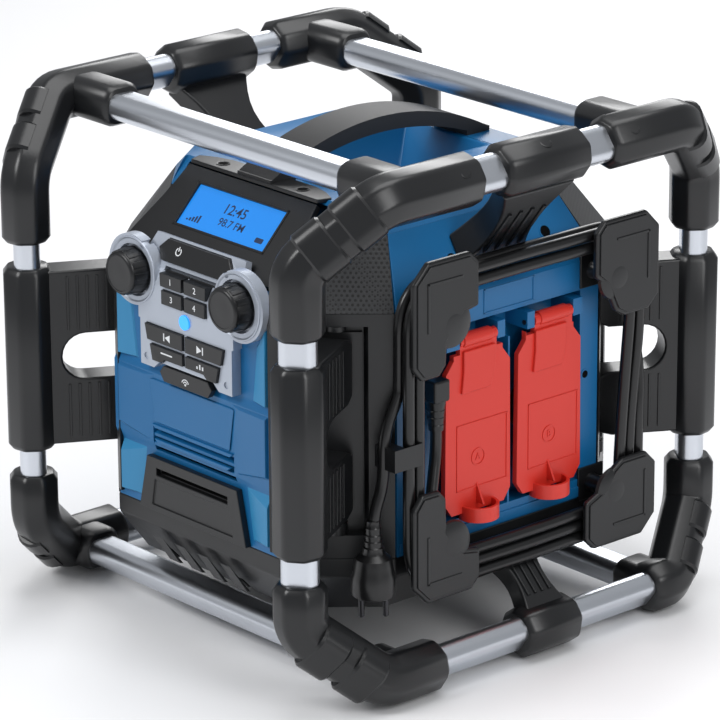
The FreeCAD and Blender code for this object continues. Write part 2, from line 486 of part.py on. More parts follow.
# rear compartment door
dr = box(-DX+0.6, DX-0.6, YR-4.5, YR-0.5, DZ0+2.4, DZ1-0.8)
dr = dr.cut(box(-61, -45, YR-12, YR+3, DZ0, DZ0+8)).cut(box(45, 61, YR-12, YR+3, DZ0, DZ0+8))
dr = dr.fuse(cyl((-44.5, DHY, DHZ), (44.5, DHY, DHZ), 2.9)).cut(cyl((-45, DHY, DHZ), (45, DHY, DHZ), 1.55))
dr = dr.fuse(box(-14, 14, YR-0.5, YR+3.5, DZ1-16, DZ1-12)).removeSplitter()
put("rear_door", dr)
put("door_hinge_pins", group([cyl((-60.5, DHY, DHZ), (-31.5, DHY, DHZ), 1.5), cyl((31.5, DHY, DHZ), (60.5, DHY, DHZ), 1.5)]))

# ---------------------------------------------------------------- cord, hooks
CD = 9.4
RX0, RX1 = 161.5, 183.0
RY0, RY1, RZ0, RZ1 = -118.0, 147.0, 70.0, 332.0
BY, BZ = 34.0, 31.0                    # band widths: upright runs, level runs
PR = 7.0
POST = {"ft": (-74.0, 291.0), "rt": (103.0, 291.0), "fb": (-74.0, 111.0), "rb": (103.0, 111.0)}
def rring(y0, y1, z0, z1, r, x0, x1):
    b = box(x0, x1, y0, y1, z0, z1)
    return b.makeFillet(r, [e for e in b.Edges if abs(e.Vertexes[0].X-e.Vertexes[1].X) > (x1-x0)*0.9])
ring = rring(RY0, RY1, RZ0, RZ1, 38.0, RX0, RX1).cut(rring(RY0+BY, RY1-BY, RZ0+BZ, RZ1-BZ, 10.0, RX0-1, RX1+1))
HKO = {"ft": (-115.0, -47.0, 346.0, 252.0), "rt": (149.0, 79.0, 340.0, 257.0), "fb": (-115.0, -45.0, 68.0, 159.0), "rb": (149.0, 71.0, 66.0, 136.0)}
hk = []
for k, (py, pz) in POST.items():
    oy, iy, oz, iz = HKO[k]
    fy = -1 if k[0] == "f" else 1
    fz = 1 if k[1] == "t" else -1
    pts = [(iy, oz - fz*10), (iy - (-fy)*0, oz - fz*10)][:1] + [(iy + fy*9, oz), (oy - fy*14, oz), (oy, oz - fz*14), (oy, iz + fz*11), (oy - fy*9, iz), (oy - fy*26, iz), (oy - fy*34, iz + fz*9), (oy - fy*35, pz - fz*12), (py - fy*4, pz - fz*3), (py - fy*16, pz + fz*4), (iy, pz + fz*6)]
    w = Part.makePolygon([V(RX1+1.0, y, z) for y, z in pts] + [V(RX1+1.0, pts[0][0], pts[0][1])])
    pl = Part.Face(w).extrude(V(7.0, 0, 0))
    hk.append(pl.fuse(cyl((HX, py, pz), (RX1+2, py, pz), PR)).removeSplitter())
put("cord_hooks", group(hk))

def path_tube(P, R, r):
    """tube along a polyline whose corners are rounded with radius R"""
    P = [V(*p) for p in P]; ed = []; cur = P[0]
    for i in range(1, len(P)-1):
        u = (P[i]-P[i-1]).normalize(); v = (P[i+1]-P[i]).normalize()
        th = u.getAngle(v)
        if th < 1e-6: continue
        t = R*math.tan(th/2)
        a = P[i] - u*t; b = P[i] + v*t
        c = (v-u).normalize(); m = P[i] + c*(R/math.cos(th/2) - R)
        if (a-cur).Length > 1e-6: ed.append(Part.makeLine(cur, a))
        ed.append(Part.Arc(a, m, b).toShape()); cur = b
    ed.append(Part.makeLine(cur, P[-1]))
    w = Part.Wire(ed)
    d = (P[1]-P[0]).normalize()
    c = Part.Wire([Part.makeCircle(r, P[0], d)])
    return w.makePipeShell([c], True, True)

# gland beside the first lid, feed run into the coil
GX, GY, GZ = 168.5, -73.0, 226.0
gl = box(HX, GX+8.0, GY-8, GY+8, GZ-2, GZ+16).fuse(cone((GX, GY, GZ-2), (GX, GY, GZ-26), 7.9, 6.2))
gl = gl.cut(cyl((GX, GY, GZ-27), (GX, GY, GZ+8), CD/2)).removeSplitter()
put("cord_gland", gl)
FEED = [(GX, GY, GZ+8), (GX, GY, 180.0), (GX, -95.0, 130.0)]
feed = path_tube(FEED, 34.0, CD/2).cut(ring)
feed = max(feed.Solids, key=lambda q: q.BoundBox.ZMax)
LEAD = [(168.0, -108.0, 240.0), (168.0, -127.0, 210.0), (168.0, -127.0, 168.0), (168.0, -138.0, 146.0), (168.0, -138.0, 124.0)]
lead = path_tube(LEAD, 24.0, CD/2).cut(ring)
lead = min(lead.Solids, key=lambda q: q.BoundBox.ZMin)
put("cord_tube", group([feed, lead]))
put("cord_winding", ring)
clip = box(160.6, 176.5, -133.5, RY0, 182, 200).fuse(box(RX1, RX1+1.0-0.2, -133.5, -100, 182, 200)).fuse(box(172.0, RX1+0.8, -133.5, RY0, 182, 200)).removeSplitter()
clip = clip.cut(cyl((168, -127, 170), (168, -127, 212), CD/2)).cut(box(150, 190, -140, -129.5, 181, 201)).cut(lead)
clip = max(clip.Solids, key=lambda q: q.Volume)
put("cord_clip", clip)
# plug: relief, round body, two round pins
px_, py_ = 168.0, -138.0
pg = cone((px_, py_, 80), (px_, py_, 114), 17.5, 12.0).fuse(cone((px_, py_, 114), (px_, py_, 142), 8.5, 6.0))
pg = pg.cut(cyl((px_, py_, 124), (px_, py_, 143), CD/2))
for k in (-9.5, 9.5):
    pg = pg.fuse(cyl((px_+k*0.6, py_+k*0.8, 62), (px_+k*0.6, py_+k*0.8, 81), 2.4))
put("power_plug", pg.removeSplitter())

# ---------------------------------------------------------------- internals
def driver(o, n, r, depth):
    n = V(*n).normalize(); o = V(*o)
    p = lambda t: (o.x-n.x*t, o.y-n.y*t, o.z-n.z*t)
    return cyl(p(0), p(4), r).fuse(cone(p(4), p(depth), r-4, r*0.45)).fuse(cyl(p(depth), p(depth+16), r*0.42)).removeSplitter()
dv = []
for sx, sy in NM:
    y0, yc = (YF, CYF) if sy < 0 else (YR, CYR)
    ty_, tc_ = (TYF, TCF) if sy < 0 else (TYR, TCR)
    A = V(sx*CX, y0, ZU); B = V(sx*HX, yc, ZU); C = V(sx*TX, tc_, ZTOP); D = V(sx*TCX, ty_, ZTOP)
    n = (B-A).cross(D-A).normalize()
    if n.dot(V(sx, sy, 0.5)) < 0: n = n*-1
    ce = (A+B+C+D)*0.25 - n*3.0
    dv.append(driver((ce.x, ce.y, ce.z), (n.x, n.y, n.z), 24.0, 16.0))
put("speaker_drivers", group(dv))
put("subwoofer_driver", driver((0, -50, Z0+4.0), (0, 0, -1), 62.0, 34.0))
put("power_supply", box(-118, -28, 25, 88, Z0+4.0, 104))
put("amplifier_board", box(24, 118, 28, 30, Z0+4.0, 100).fuse(box(40, 100, 30, 56, Z0+8.0, 96)).removeSplitter())

# mate the clamps and brackets to the body without interference
put("rail_clamp_top_right", OUT["rail_clamp_top_right"].cut(OUT["side_panel_right"]))
put("rail_clamp_top_left", OUT["rail_clamp_top_left"].cut(OUT["side_panel_left"]))
for nm in ("right", "left"):
    put("rail_clamp_bottom_"+nm, OUT["rail_clamp_bottom_"+nm].cut(OUT["base_tub"]))

# ---------------------------------------------------------------- screws
def screw(p, d, r=4.2, h=3.0):
    d = V(*d).normalize(); p = V(*p)
    q = p - d*1.0
    s = Part.makeCylinder(r, h, q, d)
    return s.cut(Part.makeCylinder(r*0.5, 2.0, q + d*(h-1.6), d))
sc = []
for (sx, sy), nm in NM.items():
    dd = V(-sx*0.55*0+ sx*0.25, sy*0.97, 0).normalize()
    for z in (SOCK_T+22.0, SOCK_B-18.0, 262.0, 152.0):
        q = V(sx*XV, sy*YV, z) + dd*(RC)
        sc.append(((q.x, q.y, q.z), (dd.x, dd.y, dd.z)))
hosts = ["corner_top_"+n for n in NM.values()] + ["corner_bottom_"+n for n in NM.values()] + ["upright_bracket_"+n for n in NM.values()]
shapes = []
for p, d in sc:
    k = screw(p, d)
    for hname in hosts:
        if OUT[hname].BoundBox.intersect(k.BoundBox):
            OUT[hname] = OUT[hname].cut(Part.makeCylinder(4.2, 12.0, V(*p) - V(*d)*1.0, V(*d)))
    shapes.append(k)
put("cage_screws", group(shapes))

def merge(new, olds):
    put(new, group([k for o in olds for k in OUT.pop(o).Solids]))
merge("hinge_pins", ["lid_hinge_pins", "door_hinge_pins"])
merge("rail_clamps_top", ["rail_clamp_top_right", "rail_clamp_top_left"])
merge("rail_clamps_bottom", ["rail_clamp_bottom_right", "rail_clamp_bottom_left"])
merge("upright_brackets_front", ["upright_bracket_front_left", "upright_bracket_front_right"])
merge("upright_brackets_rear", ["upright_bracket_rear_left", "upright_bracket_rear_right"])


# pieces that seat in each other: the first is relieved by the second
def relieve(a, *bs):
    solids = list(OUT[a].Solids)
    out = []
    for k in solids:
        for b in bs:
            for t in OUT[b].Solids:
                if t.BoundBox.intersect(k.BoundBox):
                    k = k.cut(t)
                    if len(k.Solids) > 1:
                        k = max(k.Solids, key=lambda q: q.Volume)
        out.append(k.Solids[0] if k.Solids else k)
    put(a, group(out) if len(out) > 1 else out[0])
relieve("control_board", "display_bezel")
relieve("front_shell", "control_panel")
relieve("corner_bottom_rear_left", "side_rail_tubes")
relieve("corner_bottom_rear_right", "side_rail_tubes")
relieve("speaker_grilles", "corner_panels", "side_panel_right", "side_panel_left", "rear_panel", "display_bezel", "top_cover", "front_shell")
relieve("upright_brackets_front", "corner_panels")
relieve("upright_brackets_rear", "corner_panels")
relieve("socket_inserts", "side_panel_right")
relieve("speaker_drivers", "speaker_grilles", "top_cover", "side_panel_right", "side_panel_left", "corner_panels", "rear_panel", "display_bezel")
relieve("handle_bowl", "top_cover")
relieve("display_module", "display_bezel", "top_cover")
#MORE
for name, sh in OUT.items():
    bb = sh.BoundBox
    print("%-28s solids %2d valid %s vol %9.0f  x %.0f..%.0f y %.0f..%.0f z %.0f..%.0f" % (name, len(sh.Solids), sh.isValid(), sh.Volume, bb.XMin, bb.XMax, bb.YMin, bb.YMax, bb.ZMin, bb.ZMax))
    sh.exportStep("parts/%s.step" % name)
print(len(OUT), "nodes")
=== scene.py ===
import math, json, random
import bpy, bmesh
from mathutils import Vector, Matrix

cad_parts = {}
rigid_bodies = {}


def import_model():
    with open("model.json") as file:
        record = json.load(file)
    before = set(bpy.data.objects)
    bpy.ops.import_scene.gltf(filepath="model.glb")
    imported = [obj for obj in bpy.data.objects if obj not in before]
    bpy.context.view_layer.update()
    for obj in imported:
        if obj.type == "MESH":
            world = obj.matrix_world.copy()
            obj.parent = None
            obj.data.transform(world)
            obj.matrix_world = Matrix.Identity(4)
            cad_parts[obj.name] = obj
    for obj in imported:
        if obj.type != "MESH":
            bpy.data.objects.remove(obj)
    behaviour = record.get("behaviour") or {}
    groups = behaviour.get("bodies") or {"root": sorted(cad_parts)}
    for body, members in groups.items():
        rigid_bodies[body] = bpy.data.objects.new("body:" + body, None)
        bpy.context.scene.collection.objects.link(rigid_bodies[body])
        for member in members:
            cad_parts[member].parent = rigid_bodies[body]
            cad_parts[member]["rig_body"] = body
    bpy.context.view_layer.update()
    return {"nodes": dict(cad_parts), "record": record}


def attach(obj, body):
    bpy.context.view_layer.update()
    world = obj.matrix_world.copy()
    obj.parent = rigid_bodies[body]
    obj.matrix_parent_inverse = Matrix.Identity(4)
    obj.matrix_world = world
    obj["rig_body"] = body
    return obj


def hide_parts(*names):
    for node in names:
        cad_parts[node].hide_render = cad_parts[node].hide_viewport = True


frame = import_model()
N = frame["nodes"]
C = bpy.context
D = bpy.data
mm = 0.001

# ------------------------------------------------------------------ materials
def mat(name, color, rough=0.5, metal=0.0, bump=None, spec=0.5, coat=0.0, emit=None, estr=0.0, vary=0.0):
    m = D.materials.new(name); m.use_nodes = True
    nt = m.node_tree; p = nt.nodes["Principled BSDF"]
    p.inputs["Base Color"].default_value = (*color, 1)
    p.inputs["Roughness"].default_value = rough
    p.inputs["Metallic"].default_value = metal
    p.inputs["Specular IOR Level"].default_value = spec
    p.inputs["Coat Weight"].default_value = coat
    if coat: p.inputs["Coat Roughness"].default_value = 0.12
    if emit:
        p.inputs["Emission Color"].default_value = (*emit, 1)
        p.inputs["Emission Strength"].default_value = estr
    tc = nt.nodes.new("ShaderNodeTexCoord")
    if bump:
        scale, strength, dist = bump
        n = nt.nodes.new("ShaderNodeTexNoise"); n.inputs["Scale"].default_value = scale
        n.inputs["Detail"].default_value = 2.0
        b = nt.nodes.new("ShaderNodeBump"); b.inputs["Strength"].default_value = strength
        b.inputs["Distance"].default_value = dist
        nt.links.new(tc.outputs["Object"], n.inputs["Vector"])
        nt.links.new(n.outputs["Fac"], b.inputs["Height"])
        nt.links.new(b.outputs["Normal"], p.inputs["Normal"])
    if vary:
        n2 = nt.nodes.new("ShaderNodeTexNoise"); n2.inputs["Scale"].default_value = 18.0
        r = nt.nodes.new("ShaderNodeMapRange")
        r.inputs["To Min"].default_value = max(0.02, rough - vary); r.inputs["To Max"].default_value = rough + vary
        nt.links.new(tc.outputs["Object"], n2.inputs["Vector"])
        nt.links.new(n2.outputs["Fac"], r.inputs["Value"])
        nt.links.new(r.outputs["Result"], p.inputs["Roughness"])
    return m

M = {
 "tube_aluminium": mat("tube_aluminium", (0.62, 0.65, 0.70), 0.30, 1.0, (900, 0.05, 0.0002)),
 "cage_black": mat("cage_black", (0.0075, 0.008, 0.009), 0.30, 0, (1500, 0.12, 0.0002), vary=0.05),
 "black_plastic": mat("black_plastic", (0.008, 0.0085, 0.0095), 0.36, 0, (1500, 0.15, 0.0002), vary=0.05),
 "grille_metal": mat("grille_metal", (0.012, 0.012, 0.013), 0.45, 0.0),
 "blue_plastic": mat("blue_plastic", (0.004, 0.120, 0.305), 0.40, 0, (1300, 0.12, 0.0002), vary=0.04),
 "grip_black": mat("grip_black", (0.014, 0.014, 0.015), 0.55, 0, (1200, 0.2, 0.0003)),
 "silver_plastic": mat("silver_plastic", (0.42, 0.46, 0.53), 0.36, 0.35, (2500, 0.08, 0.0001)),
 "display_lens": mat("display_lens", (0.01, 0.16, 0.55), 0.12, 0, emit=(0.02, 0.26, 0.75), estr=0.5),
 "status_lens": mat("status_lens", (0.03, 0.30, 0.85), 0.10, 0, emit=(0.02, 0.30, 0.95), estr=0.9),
 "key_black": mat("key_black", (0.006, 0.0065, 0.0075), 0.32, 0, (1800, 0.1, 0.0001)),
 "red_plastic": mat("red_plastic", (0.640, 0.030, 0.018), 0.42, 0, (1500, 0.12, 0.0002)),
 "steel": mat("steel", (0.05, 0.05, 0.055), 0.32, 0.8),
 "cord_rubber": mat("cord_rubber", (0.006, 0.006, 0.0065), 0.28, 0, (1400, 0.1, 0.0001)),
 "socket_black": mat("socket_black", (0.015, 0.015, 0.017), 0.4),
 "board": mat("board", (0.01, 0.08, 0.03), 0.5),
 "supply_case": mat("supply_case", (0.2, 0.2, 0.21), 0.4, 0.6),
 "driver": mat("driver", (0.02, 0.02, 0.02), 0.5, 0.3),
 "print_white": mat("print_white", (0.72, 0.74, 0.76), 0.5),
 # lighter copy of the blue shell plastic, a painted highlight on the angled side columns and feet
 "blue_highlight": mat("blue_highlight", (0.022, 0.215, 0.43), 0.42, 0, (1300, 0.12, 0.0002)),
 # near-black matt material, painted shade inside holes and slots
 "opening_shade": mat("opening_shade", (0.0015, 0.0015, 0.0015), 0.9, spec=0.1),
 "dark_print": mat("dark_print", (0.01, 0.03, 0.09), 0.4),
}
# grille perforation as a dot pattern in colour and bump; the near-black dots are painted shade in the holes
def perforate(m, pitch):
    nt = m.node_tree; p = nt.nodes["Principled BSDF"]
    tc = nt.nodes.new("ShaderNodeTexCoord"); v = nt.nodes.new("ShaderNodeTexVoronoi")
    v.inputs["Scale"].default_value = 1.0/pitch; v.inputs["Randomness"].default_value = 0.0
    r = nt.nodes.new("ShaderNodeValToRGB")
    r.color_ramp.elements[0].position = 0.36; r.color_ramp.elements[0].color = (0.0008, 0.0008, 0.0009, 1)
    r.color_ramp.elements[1].position = 0.42; r.color_ramp.elements[1].color = (0.022, 0.023, 0.025, 1)
    nt.links.new(tc.outputs["Object"], v.inputs["Vector"]); nt.links.new(v.outputs["Distance"], r.inputs["Fac"])
    nt.links.new(r.outputs["Color"], p.inputs["Base Color"])
    b = nt.nodes.new("ShaderNodeBump"); b.inputs["Strength"].default_value = 0.6; b.inputs["Distance"].default_value = 0.0004
    nt.links.new(v.outputs["Distance"], b.inputs["Height"]); nt.links.new(b.outputs["Normal"], p.inputs["Normal"])
perforate(M["grille_metal"], 0.0030)
slot_of = {s["node"]: s["material_slot"] for s in frame["record"]["subparts"]}

def smooth(o, angle=35):
    me = o.data
    me.polygons.foreach_set("use_smooth", [True]*len(me.polygons))
    me.update()
    if not any(x.type == "NODES" for x in o.modifiers):
        pass
def bevel(o, w, seg=3, angle=28):
    b = o.modifiers.new("bevel", "BEVEL"); b.width = w*mm; b.segments = seg
    b.limit_method = "ANGLE"; b.angle_limit = math.radians(angle); b.harden_normals = True
    b.use_clamp_overlap = True
    return b

def clean(o):
    """merge split vertices and dissolve flat triangles so that the bevels are even"""
    bm = bmesh.new(); bm.from_mesh(o.data)
    bmesh.ops.remove_doubles(bm, verts=bm.verts, dist=1e-5)
    bmesh.ops.dissolve_limit(bm, angle_limit=math.radians(1.0), verts=bm.verts, edges=bm.edges)
    bm.to_mesh(o.data); bm.free(); o.data.update()

for n, o in N.items():
    s = slot_of[n]
    o.data.materials.clear(); o.data.materials.append(M[s])

# ------------------------------------------------------------------ camera, light, floor
cd = D.cameras.new("cam"); cam = D.objects.new("cam", cd); C.scene.collection.objects.link(cam)
cd.lens = 221.0; cd.sensor_width = 36.0; cd.clip_start = 0.1; cd.clip_end = 50
cd.shift_x = -0.0003; cd.shift_y = 0.0568
az, el, ro = math.radians(48.5), math.radians(19.5), math.radians(-0.3)
fw = Vector((-math.sin(az)*math.cos(el), math.cos(az)*math.cos(el), -math.sin(el)))
right = Vector((math.cos(az), math.sin(az), 0)); upv = right.cross(fw)
r2 = right*math.cos(ro) + upv*math.sin(ro); u2 = upv*math.cos(ro) - right*math.sin(ro)
cam.matrix_world = Matrix(((r2.x, u2.x, -fw.x, 2.5399), (r2.y, u2.y, -fw.y, -2.2492), (r2.z, u2.z, -fw.z, 1.3637), (0, 0, 0, 1)))
C.scene.camera = cam

def area(name, loc, target, size, energy, size_y=None, color=(1, 1, 1)):
    l = D.lights.new(name, "AREA"); l.energy = energy; l.size = size; l.color = color
    if size_y: l.shape = "RECTANGLE"; l.size_y = size_y
    o = D.objects.new(name, l); C.scene.collection.objects.link(o)
    o.location = loc; o.rotation_euler = (Vector(target) - Vector(loc)).to_track_quat("-Z", "Y").to_euler()
    return o
area("key", (-0.6, -2.2, 2.2), (0, 0, 0.2), 1.3, 42)
area("right", (2.4, -0.2, 1.6), (0, 0, 0.2), 1.0, 26, 1.8)
area("top", (0.2, 0.3, 2.6), (0, 0, 0.2), 1.8, 34)
area("rim", (-1.6, 1.9, 1.5), (0, 0, 0.2), 1.2, 22)
w = D.worlds.new("w"); C.scene.world = w; w.use_nodes = True
w.node_tree.nodes["Background"].inputs["Color"].default_value = (0.92, 0.94, 0.97, 1)
w.node_tree.nodes["Background"].inputs["Strength"].default_value = 0.42
me = D.meshes.new("floor"); bm = bmesh.new(); bmesh.ops.create_grid(bm, x_segments=1, y_segments=1, size=6.0); bm.to_mesh(me); bm.free()
fl = D.objects.new("floor", me); C.scene.collection.objects.link(fl)
fl.data.materials.append(mat("floor_mat", (0.86, 0.86, 0.87), 0.6))
C.scene.view_settings.view_transform = "Standard"

# ------------------------------------------------------------------ helpers
BODY = {n: o["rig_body"] for n, o in N.items()}
def link(o, material, body):
    C.scene.collection.objects.link(o)
    if material:
        o.data.materials.append(M[material])
    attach(o, body)
    return o

def new(name, verts, faces, material, body="radio", bev=0.0, seg=3, ang=28, shade=True):
    me = D.meshes.new(name); me.from_pydata([tuple(v) for v in verts], [], faces); me.validate(); me.update()
    bm = bmesh.new(); bm.from_mesh(me); bmesh.ops.recalc_face_normals(bm, faces=bm.faces); bm.to_mesh(me); bm.free()
    o = D.objects.new(name, me)
    if shade:
        me.polygons.foreach_set("use_smooth", [True]*len(me.polygons)); me.set_sharp_from_angle(angle=math.radians(ang))
    link(o, material, body)
    if bev: bevel(o, bev, seg, ang)
    return o

def prism(name, pts, O, X, Y, d0, d1, material, body="radio", bev=0.0, seg=3, ang=28):
    """polygon pts (mm) on the plane O, X, Y (mm), from height d0 to d1 along its normal"""
    O, X, Y = Vector(O), Vector(X).normalized(), Vector(Y).normalized(); Z = X.cross(Y)
    n = len(pts)
    v = [(O + X*a + Y*b + Z*d0)*mm for a, b in pts] + [(O + X*a + Y*b + Z*d1)*mm for a, b in pts]
    f = [tuple(range(n))[::-1], tuple(range(n, 2*n))] + [(i, (i+1) % n, n+(i+1) % n, n+i) for i in range(n)]
    return new(name, v, f, material, body, bev, seg, ang)

def bx(name, x0, x1, y0, y1, z0, z1, material, body="radio", bev=0.0, seg=3):
    return prism(name, [(x0, y0), (x1, y0), (x1, y1), (x0, y1)], (0, 0, 0), (1, 0, 0), (0, 1, 0), z0, z1, material, body, bev, seg)

def rrect(w, h, r, n=6, cx=0, cy=0):
    out = []
    for sx, sy, a0 in ((1, 1, 0), (-1, 1, 90), (-1, -1, 180), (1, -1, 270)):
        for i in range(n+1):
            a = math.radians(a0 + 90*i/n)
            out.append((cx + sx*(w/2-r) + r*math.cos(a), cy + sy*(h/2-r) + r*math.sin(a)))
    return out

def circle(r, n=48, cx=0, cy=0, a0=0):
    return [(cx + r*math.cos(a0 + 2*math.pi*i/n), cy + r*math.sin(a0 + 2*math.pi*i/n)) for i in range(n)]

def lathe(name, prof, O, Z, material, body="radio", n=64, ang=30, xd=None, ring=False):
    """prof (r, h) in mm turned about the axis O, Z; ring joins the last profile point to the first"""
    O, Z = Vector(O), Vector(Z).normalized()
    X = Vector(xd).normalized() if xd else Z.orthogonal().normalized(); Y = Z.cross(X)
    v, f = [], []
    for r, h in prof:
        for i in range(n):
            a = 2*math.pi*i/n
            v.append((O + X*(r*math.cos(a)) + Y*(r*math.sin(a)) + Z*h)*mm)
    for k in range(len(prof)-1):
        for i in range(n):
            j = (i+1) % n
            f.append((k*n+i, k*n+j, (k+1)*n+j, (k+1)*n+i))
    if ring:
        k = (len(prof)-1)*n
        for i in range(n):
            j = (i+1) % n
            f.append((k+i, k+j, j, i))
    else:
        f.append(tuple(range(n))[::-1]); f.append(tuple((len(prof)-1)*n+i for i in range(n)))
    return new(name, v, f, material, body, ang=ang)

def bez_path(P, R, step=3.0):
    """points along a polyline with round corners"""
    P = [Vector(p) for p in P]; out = [P[0]]
    for i in range(1, len(P)-1):
        u = (P[i]-P[i-1]).normalized(); v = (P[i+1]-P[i]).normalized()
        th = u.angle(v)
        if th < 1e-4: continue
        t = R*math.tan(th/2); a = P[i]-u*t; c = (v-u).normalized(); ctr = P[i] + c*(R/math.cos(th/2))
        k = max(4, int(th/math.radians(7)))
        ra = a-ctr; ax = u.cross(v).normalized()
        for j in range(k+1):
            out.append(ctr + Matrix.Rotation(th*j/k, 3, ax) @ ra)
    out.append(P[-1])
    return out

def sweep(name, path, sect, scales, up, material, body="radio", ang=32, close=True, twist=None):
    """sect: list of (u, v) mm; path: Vectors mm; scales: per point scale; up: direction of v at the start"""
    v, f = [], []
    n = len(sect)
    T = []
    for i in range(len(path)):
        a = path[max(0, i-1)]; b = path[min(len(path)-1, i+1)]
        T.append((b-a).normalized())
    V = (Vector(up) - T[0]*Vector(up).dot(T[0])).normalized()
    for i, p in enumerate(path):
        if i:
            q = T[i-1].rotation_difference(T[i]); V = (q @ V); V = (V - T[i]*V.dot(T[i])).normalized()
        U = V.cross(T[i])
        VV, UU = V, U
        if twist:
            t = twist[i]; UU = U*math.cos(t) + V*math.sin(t); VV = V*math.cos(t) - U*math.sin(t)
        s = scales[i]
        su, sv = (s, s) if not isinstance(s, tuple) else s
        for a, b in sect:
            v.append((p + UU*a*su + VV*b*sv)*mm)
    for k in range(len(path)-1):
        for i in range(n):
            j = (i+1) % n
            f.append((k*n+i, k*n+j, (k+1)*n+j, (k+1)*n+i))
    if close:
        f.append(tuple(range(n))[::-1]); f.append(tuple((len(path)-1)*n+i for i in range(n)))
    return new(name, v, f, material, body, ang=ang)

def cut(o, *tools):
    """boolean difference, applied, the tools removed"""
    for t in tools:
        b = o.modifiers.new("cut", "BOOLEAN"); b.operation = "DIFFERENCE"; b.object = t; b.solver = "EXACT"
    dg = C.evaluated_depsgraph_get(); me = D.meshes.new_from_object(o.evaluated_get(dg))
    old = o.data; o.modifiers.clear(); o.data = me; D.meshes.remove(old)
    for t in tools: D.objects.remove(t)
    return o

def copy_of(node, bev=0.8, seg=3, ang=28, material=None, name=None):
    src = N[node]
    me = src.data.copy(); me.name = (name or node) + "_v"
    bm = bmesh.new(); bm.from_mesh(me)
    bmesh.ops.remove_doubles(bm, verts=bm.verts, dist=2e-6)
    bmesh.ops.dissolve_limit(bm, angle_limit=math.radians(0.6), verts=bm.verts, edges=bm.edges)
    bmesh.ops.recalc_face_normals(bm, faces=bm.faces)
    bm.to_mesh(me); bm.free()
    me.materials.clear()
    o = D.objects.new((name or node) + "_v", me)
    me.polygons.foreach_set("use_smooth", [True]*len(me.polygons)); me.set_sharp_from_angle(angle=math.radians(ang))
    link(o, material or slot_of[node], BODY[node])
    if bev: bevel(o, bev, seg, ang)
    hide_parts(node)
    return o

def text(name, s, size, O, X, Y, h, material, body="radio", bold=0.0, align="CENTER"):
    """generic lettering, raised h mm off the plane"""
    cu = D.curves.new(name, "FONT"); cu.body = s; cu.size = size*mm; cu.extrude = h*mm/2; cu.align_x = align; cu.align_y = "CENTER"; cu.offset = bold*mm
    t = D.objects.new(name, cu); C.scene.collection.objects.link(t); C.view_layer.update()
    me = D.meshes.new_from_object(t.evaluated_get(C.evaluated_depsgraph_get())); D.objects.remove(t)
    X, Y = Vector(X).normalized(), Vector(Y).normalized(); Z = X.cross(Y); O = Vector(O)*mm
    me.transform(Matrix(((X.x, Y.x, Z.x, O.x), (X.y, Y.y, Z.y, O.y), (X.z, Y.z, Z.z, O.z), (0, 0, 0, 1))))
    me.materials.clear()
    o = D.objects.new(name, me); link(o, material, body)
    return o

for node, b in (("base_tub", 1.6), ("corner_panels", 1.0), ("front_shell", 0.8), ("side_panel_right", 0.7), ("side_panel_left", 0.8),
                ("rear_panel", 0.8), ("top_cover", 1.2), ("handle_bowl", 1.5), ("lower_trim", 0.8), ("display_bezel", 0.8), ("control_panel", 0.6),
                ("outlet_lid_a", 0.7), ("outlet_lid_b", 0.7), 
                ("rear_door", 0.8), ("carry_handle", 3.0),
                ("key_power", 0.6), ("key_1", 0.5), ("key_2", 0.5), ("key_3", 0.5), ("key_4", 0.5), ("key_previous", 0.5), ("key_next", 0.5),
                ("key_lower_left", 0.5), ("key_lower_right", 0.5), ("key_pairing", 0.6), ("speaker_grilles", 0.6),
                ("upright_tubes", 0.0), ("side_rail_tubes", 0.0), ("cross_rail_tubes", 0.0)):
    copy_of(node, b)

# ------------------------------------------------------------------ roll cage mouldings
XW, XV, YV, ZB, ZT, ZL0, ZL1, YB = 198.0, 166.0, 211.0, 22.0, 408.0, 70.0, 360.0, 157.0
def octo(w, h, c, r=3.0):
    """octagon with softened corners"""
    P = [(w/2, -h/2+c), (w/2, h/2-c), (w/2-c, h/2), (-w/2+c, h/2), (-w/2, h/2-c), (-w/2, -h/2+c), (-w/2+c, -h/2), (w/2-c, -h/2)]
    out = []
    for i in range(8):
        p0, p1, p2 = Vector(P[i-1]), Vector(P[i]), Vector(P[(i+1) % 8])
        a = p1 + (p0-p1).normalized()*r; b = p1 + (p2-p1).normalized()*r
        for t in (0, 0.25, 0.5, 0.75, 1):
            out.append(tuple(a*(1-t)**2 + p1*2*t*(1-t) + b*t*t))
    return out
SECT = octo(41, 39, 11.5, 3.4)
NM = {(-1, -1): "front_left", (1, -1): "front_right", (-1, 1): "rear_left", (1, 1): "rear_right"}
YX = {"ft": -131.0, "rt": 118.0, "fb": -142.0, "rb": 142.0}
def screw(name, p, d, r=4.0, body="radio"):
    p, d = Vector(p), Vector(d).normalized()
    lathe(name, [(r+1.6, -1.0), (r+1.6, 0.35), (r+0.7, 0.6), (r+0.2, -0.4), (r+0.1, -1.6)], p, d, "cage_black", body, 32)
    lathe(name+"_head", [(r, -2.4), (r, -0.5), (r-0.6, -0.1), (r*0.52, -0.1), (r*0.45, -1.6), (0.3, -1.7)], p, d, "steel", body, 24)
def sub(P, s0, s1):
    """part of a polyline between two shares of its length"""
    L = [0.0]
    for i in range(len(P)-1): L.append(L[-1] + (P[i+1]-P[i]).length)
    def at(t):
        for i in range(len(P)-1):
            if L[i+1] >= t: return P[i].lerp(P[i+1], (t-L[i])/max(1e-9, L[i+1]-L[i]))
        return P[-1]
    return at(s0*L[-1]), at(s1*L[-1])
